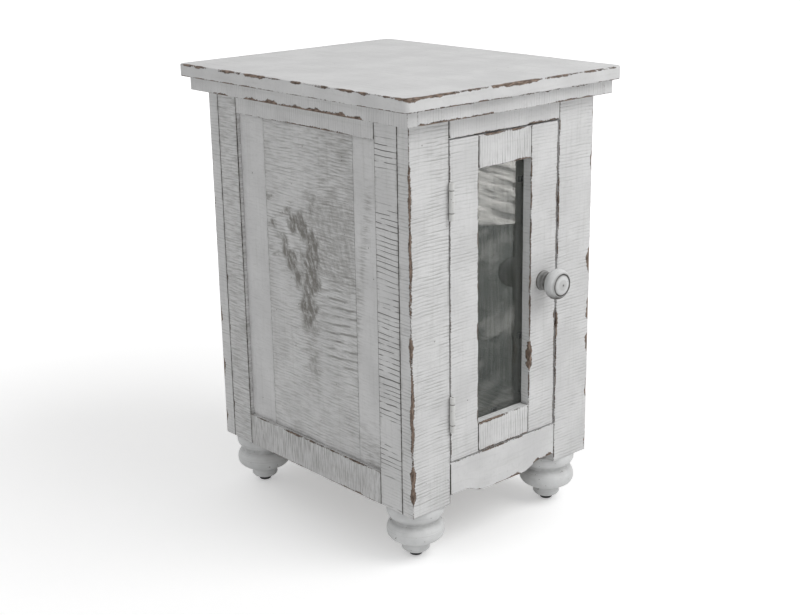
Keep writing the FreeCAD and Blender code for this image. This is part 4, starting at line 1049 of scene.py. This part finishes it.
# place of each screw's head in millimetres, and the way it faces
frame_spots = [((-104.4, -206, z), (1, 0, 0)) for z in HINGE_ROWS]
frame_spots += [((x, -190, 600), (0, 1, 0)) for x in (66.5, 84.5)]
door_spots = [((-104.1, -206, z), (-1, 0, 0)) for z in HINGE_ROWS]
door_spots += [((x, -192.5, z), (0, 1, 0)) for x in (-64.5, 62.5) for z in (284, 509)]
door_spots += [((-1, -192.5, z), (0, 1, 0)) for z in (171, 554)]
door_spots += [((75.5, -193.8, 578.5), (0, 1, 0))]
for name, body, spots, nodes in (
        ("frame_screws", "cabinet", frame_spots, ("frame_hinge_screws", "catch_screws")),
        ("door_screws", "door", door_spots, ("door_hinge_screws", "clip_screws", "strike_screw"))):
    piece = point_object(name, [spot for spot, _ in spots], aim=[aim for _, aim in spots])
    grow(piece, driven, SCREW_PROFILE, 0.7, Segments=SCREW_SIDES, Seed=SCREW_SEED,
         Finish=bright_steel.material, **RECESS)
    settle(piece, body, "bare_steel", *nodes)

# Studio: a pale floor that runs out of sight, a broad lamp over the right front corner and a
# white surround. The camera stands where the photographer stood, left of the front corner.
FLOOR_RADIUS = 12
FLOOR_SIDES = 64
FLOOR_NEAR, FLOOR_FAR = 450, 2200
SURROUND_LIGHT = 0.53
LAMP_PLACE = (1.0, -2.15, 2.75)
LAMP_AIM = (0, 0, 0.35)
LAMP_SIZE = 2.4
LAMP_WATTS = 46
scene = bpy.context.scene


def looked_at(tree):
    """1 for rays of the camera, a gloss or the glass, and 0 for those that only carry light."""
    rays = tree.nodes.new("ShaderNodeLightPath").outputs
    shown = rays["Is Camera Ray"]
    for kind in ("Is Glossy Ray", "Is Transmission Ray"):
        either = tree.nodes.new("ShaderNodeMath")
        either.operation = "MAXIMUM"
        tree.links.new(shown, either.inputs[0])
        tree.links.new(rays[kind], either.inputs[1])
        shown = either.outputs[0]
    return shown


def flat_sheet(name, points, material):
    """One flat face of the studio."""
    mesh = bpy.data.meshes.new(name)
    mesh.from_pydata(points, [], [list(range(len(points)))])
    mesh.materials.append(material)
    return put(name, mesh)


floor_paint = Finish("studio_floor", Roughness=0.9, Specular_IOR_Level=0.1, Emission_Color=(1, 1, 1, 1))
floor_place = floor_paint.place()
floor_reach = floor_paint.node("VectorMath", [floor_place], operation="LENGTH")["Value"]
floor_lift = floor_paint.ramp(floor_reach, FLOOR_NEAR, FLOOR_FAR, 0.36, 0.8)
floor_tone = floor_paint.blend(floor_paint.noise(floor_place, 400, 2), (240, 240, 240), (244, 244, 244))
floor_paint.set(Base_Color=floor_tone,
                Emission_Strength=floor_paint.times(looked_at(floor_paint.tree), floor_lift))
turns = np.arange(FLOOR_SIDES) / FLOOR_SIDES * math.tau
floor_rim = [(FLOOR_RADIUS * math.cos(turn), FLOOR_RADIUS * math.sin(turn), 0) for turn in turns]
floor = flat_sheet("studio_floor", floor_rim, floor_paint.material)

world = bpy.data.worlds.new("white_surround")
world.use_nodes = True
surround = world.node_tree
backdrop = surround.nodes["Background"]
backdrop.inputs["Color"].default_value = (1, 1, 1, 1)
level = surround.nodes.new("ShaderNodeMapRange")
level.inputs["To Min"].default_value = SURROUND_LIGHT
level.inputs["To Max"].default_value = 1.0
surround.links.new(looked_at(surround), level.inputs["Value"])
surround.links.new(level.outputs[0], backdrop.inputs["Strength"])
scene.world = world
scene.view_settings.view_transform = "Standard"

key_lamp = bpy.data.lights.new("key_lamp", "AREA")
key_lamp.shape = "DISK"
key_lamp.size = LAMP_SIZE
key_lamp.energy = LAMP_WATTS
lamp = put("key_lamp", key_lamp)
lamp.location = LAMP_PLACE
away = np.array(LAMP_PLACE) - np.array(LAMP_AIM)
lamp.rotation_euler = (math.acos(away[2] / np.linalg.norm(away)), 0,
                       math.atan2(away[1], away[0]) + math.pi / 2)


def reflector(name, points, turn, sizes, least, dim, bright):
    """Card that only the glass and other glossy surfaces see, with soft bands across it."""
    finish = Finish(name, Roughness=0.9, Base_Color=(0, 0, 0, 1), Specular_IOR_Level=0.0,
                    Emission_Color=(1.0, 0.975, 0.93, 1))
    leaning = finish.node("Mapping", {"Vector": finish.place(), "Rotation": turn})[0]
    bands = finish.drawn_out(leaning, sizes, 3, 0.6)
    finish.set(Emission_Strength=finish.ramp(bands, least, 0.62, dim, bright))
    card = flat_sheet(name, points, finish.material)
    card.visible_camera = False
    card.visible_diffuse = False
    card.visible_shadow = False
    card.visible_transmission = False


reflector("standing_card", [(0.7, -1.3, 0.4), (1.5, -1.3, 0.4), (1.5, -1.3, 0.005), (0.7, -1.3, 0.125)],
          (0, -0.36, 0), (200, 260, 20), 0.36, 1.0, 7.0)
reflector("lying_card", [(0.1, -2.4, 0.002), (3.0, -2.4, 0.002), (3.0, -0.3, 0.002), (0.1, -0.3, 0.002)],
          (0, 0, 0.5), (420, 110, 500), 0.48, 0.0, 1.3)

LENS = 63
SENSOR = 36
NEAREST = 0.05
CAMERA_PLACE = (-1.3217, -1.4867, 0.9157)
YAW, PITCH, ROLL = (math.radians(angle) for angle in (41.63, -17.41, -0.91))
ahead = np.array((math.sin(YAW) * math.cos(PITCH), math.cos(YAW) * math.cos(PITCH), math.sin(PITCH)))
level_right = np.array((math.cos(YAW), -math.sin(YAW), 0))
level_up = np.cross(level_right, ahead)
right = level_right * math.cos(ROLL) + level_up * math.sin(ROLL)
up = level_up * math.cos(ROLL) - level_right * math.sin(ROLL)
lens = bpy.data.cameras.new("photographer")
lens.lens = LENS
lens.sensor_width = SENSOR
lens.clip_start = NEAREST
camera = put("photographer", lens)
turned = np.eye(4)
turned[:3, 0], turned[:3, 1], turned[:3, 2], turned[:3, 3] = right, up, -ahead, CAMERA_PLACE
camera.matrix_world = turned.T.tolist()
scene.camera = camera
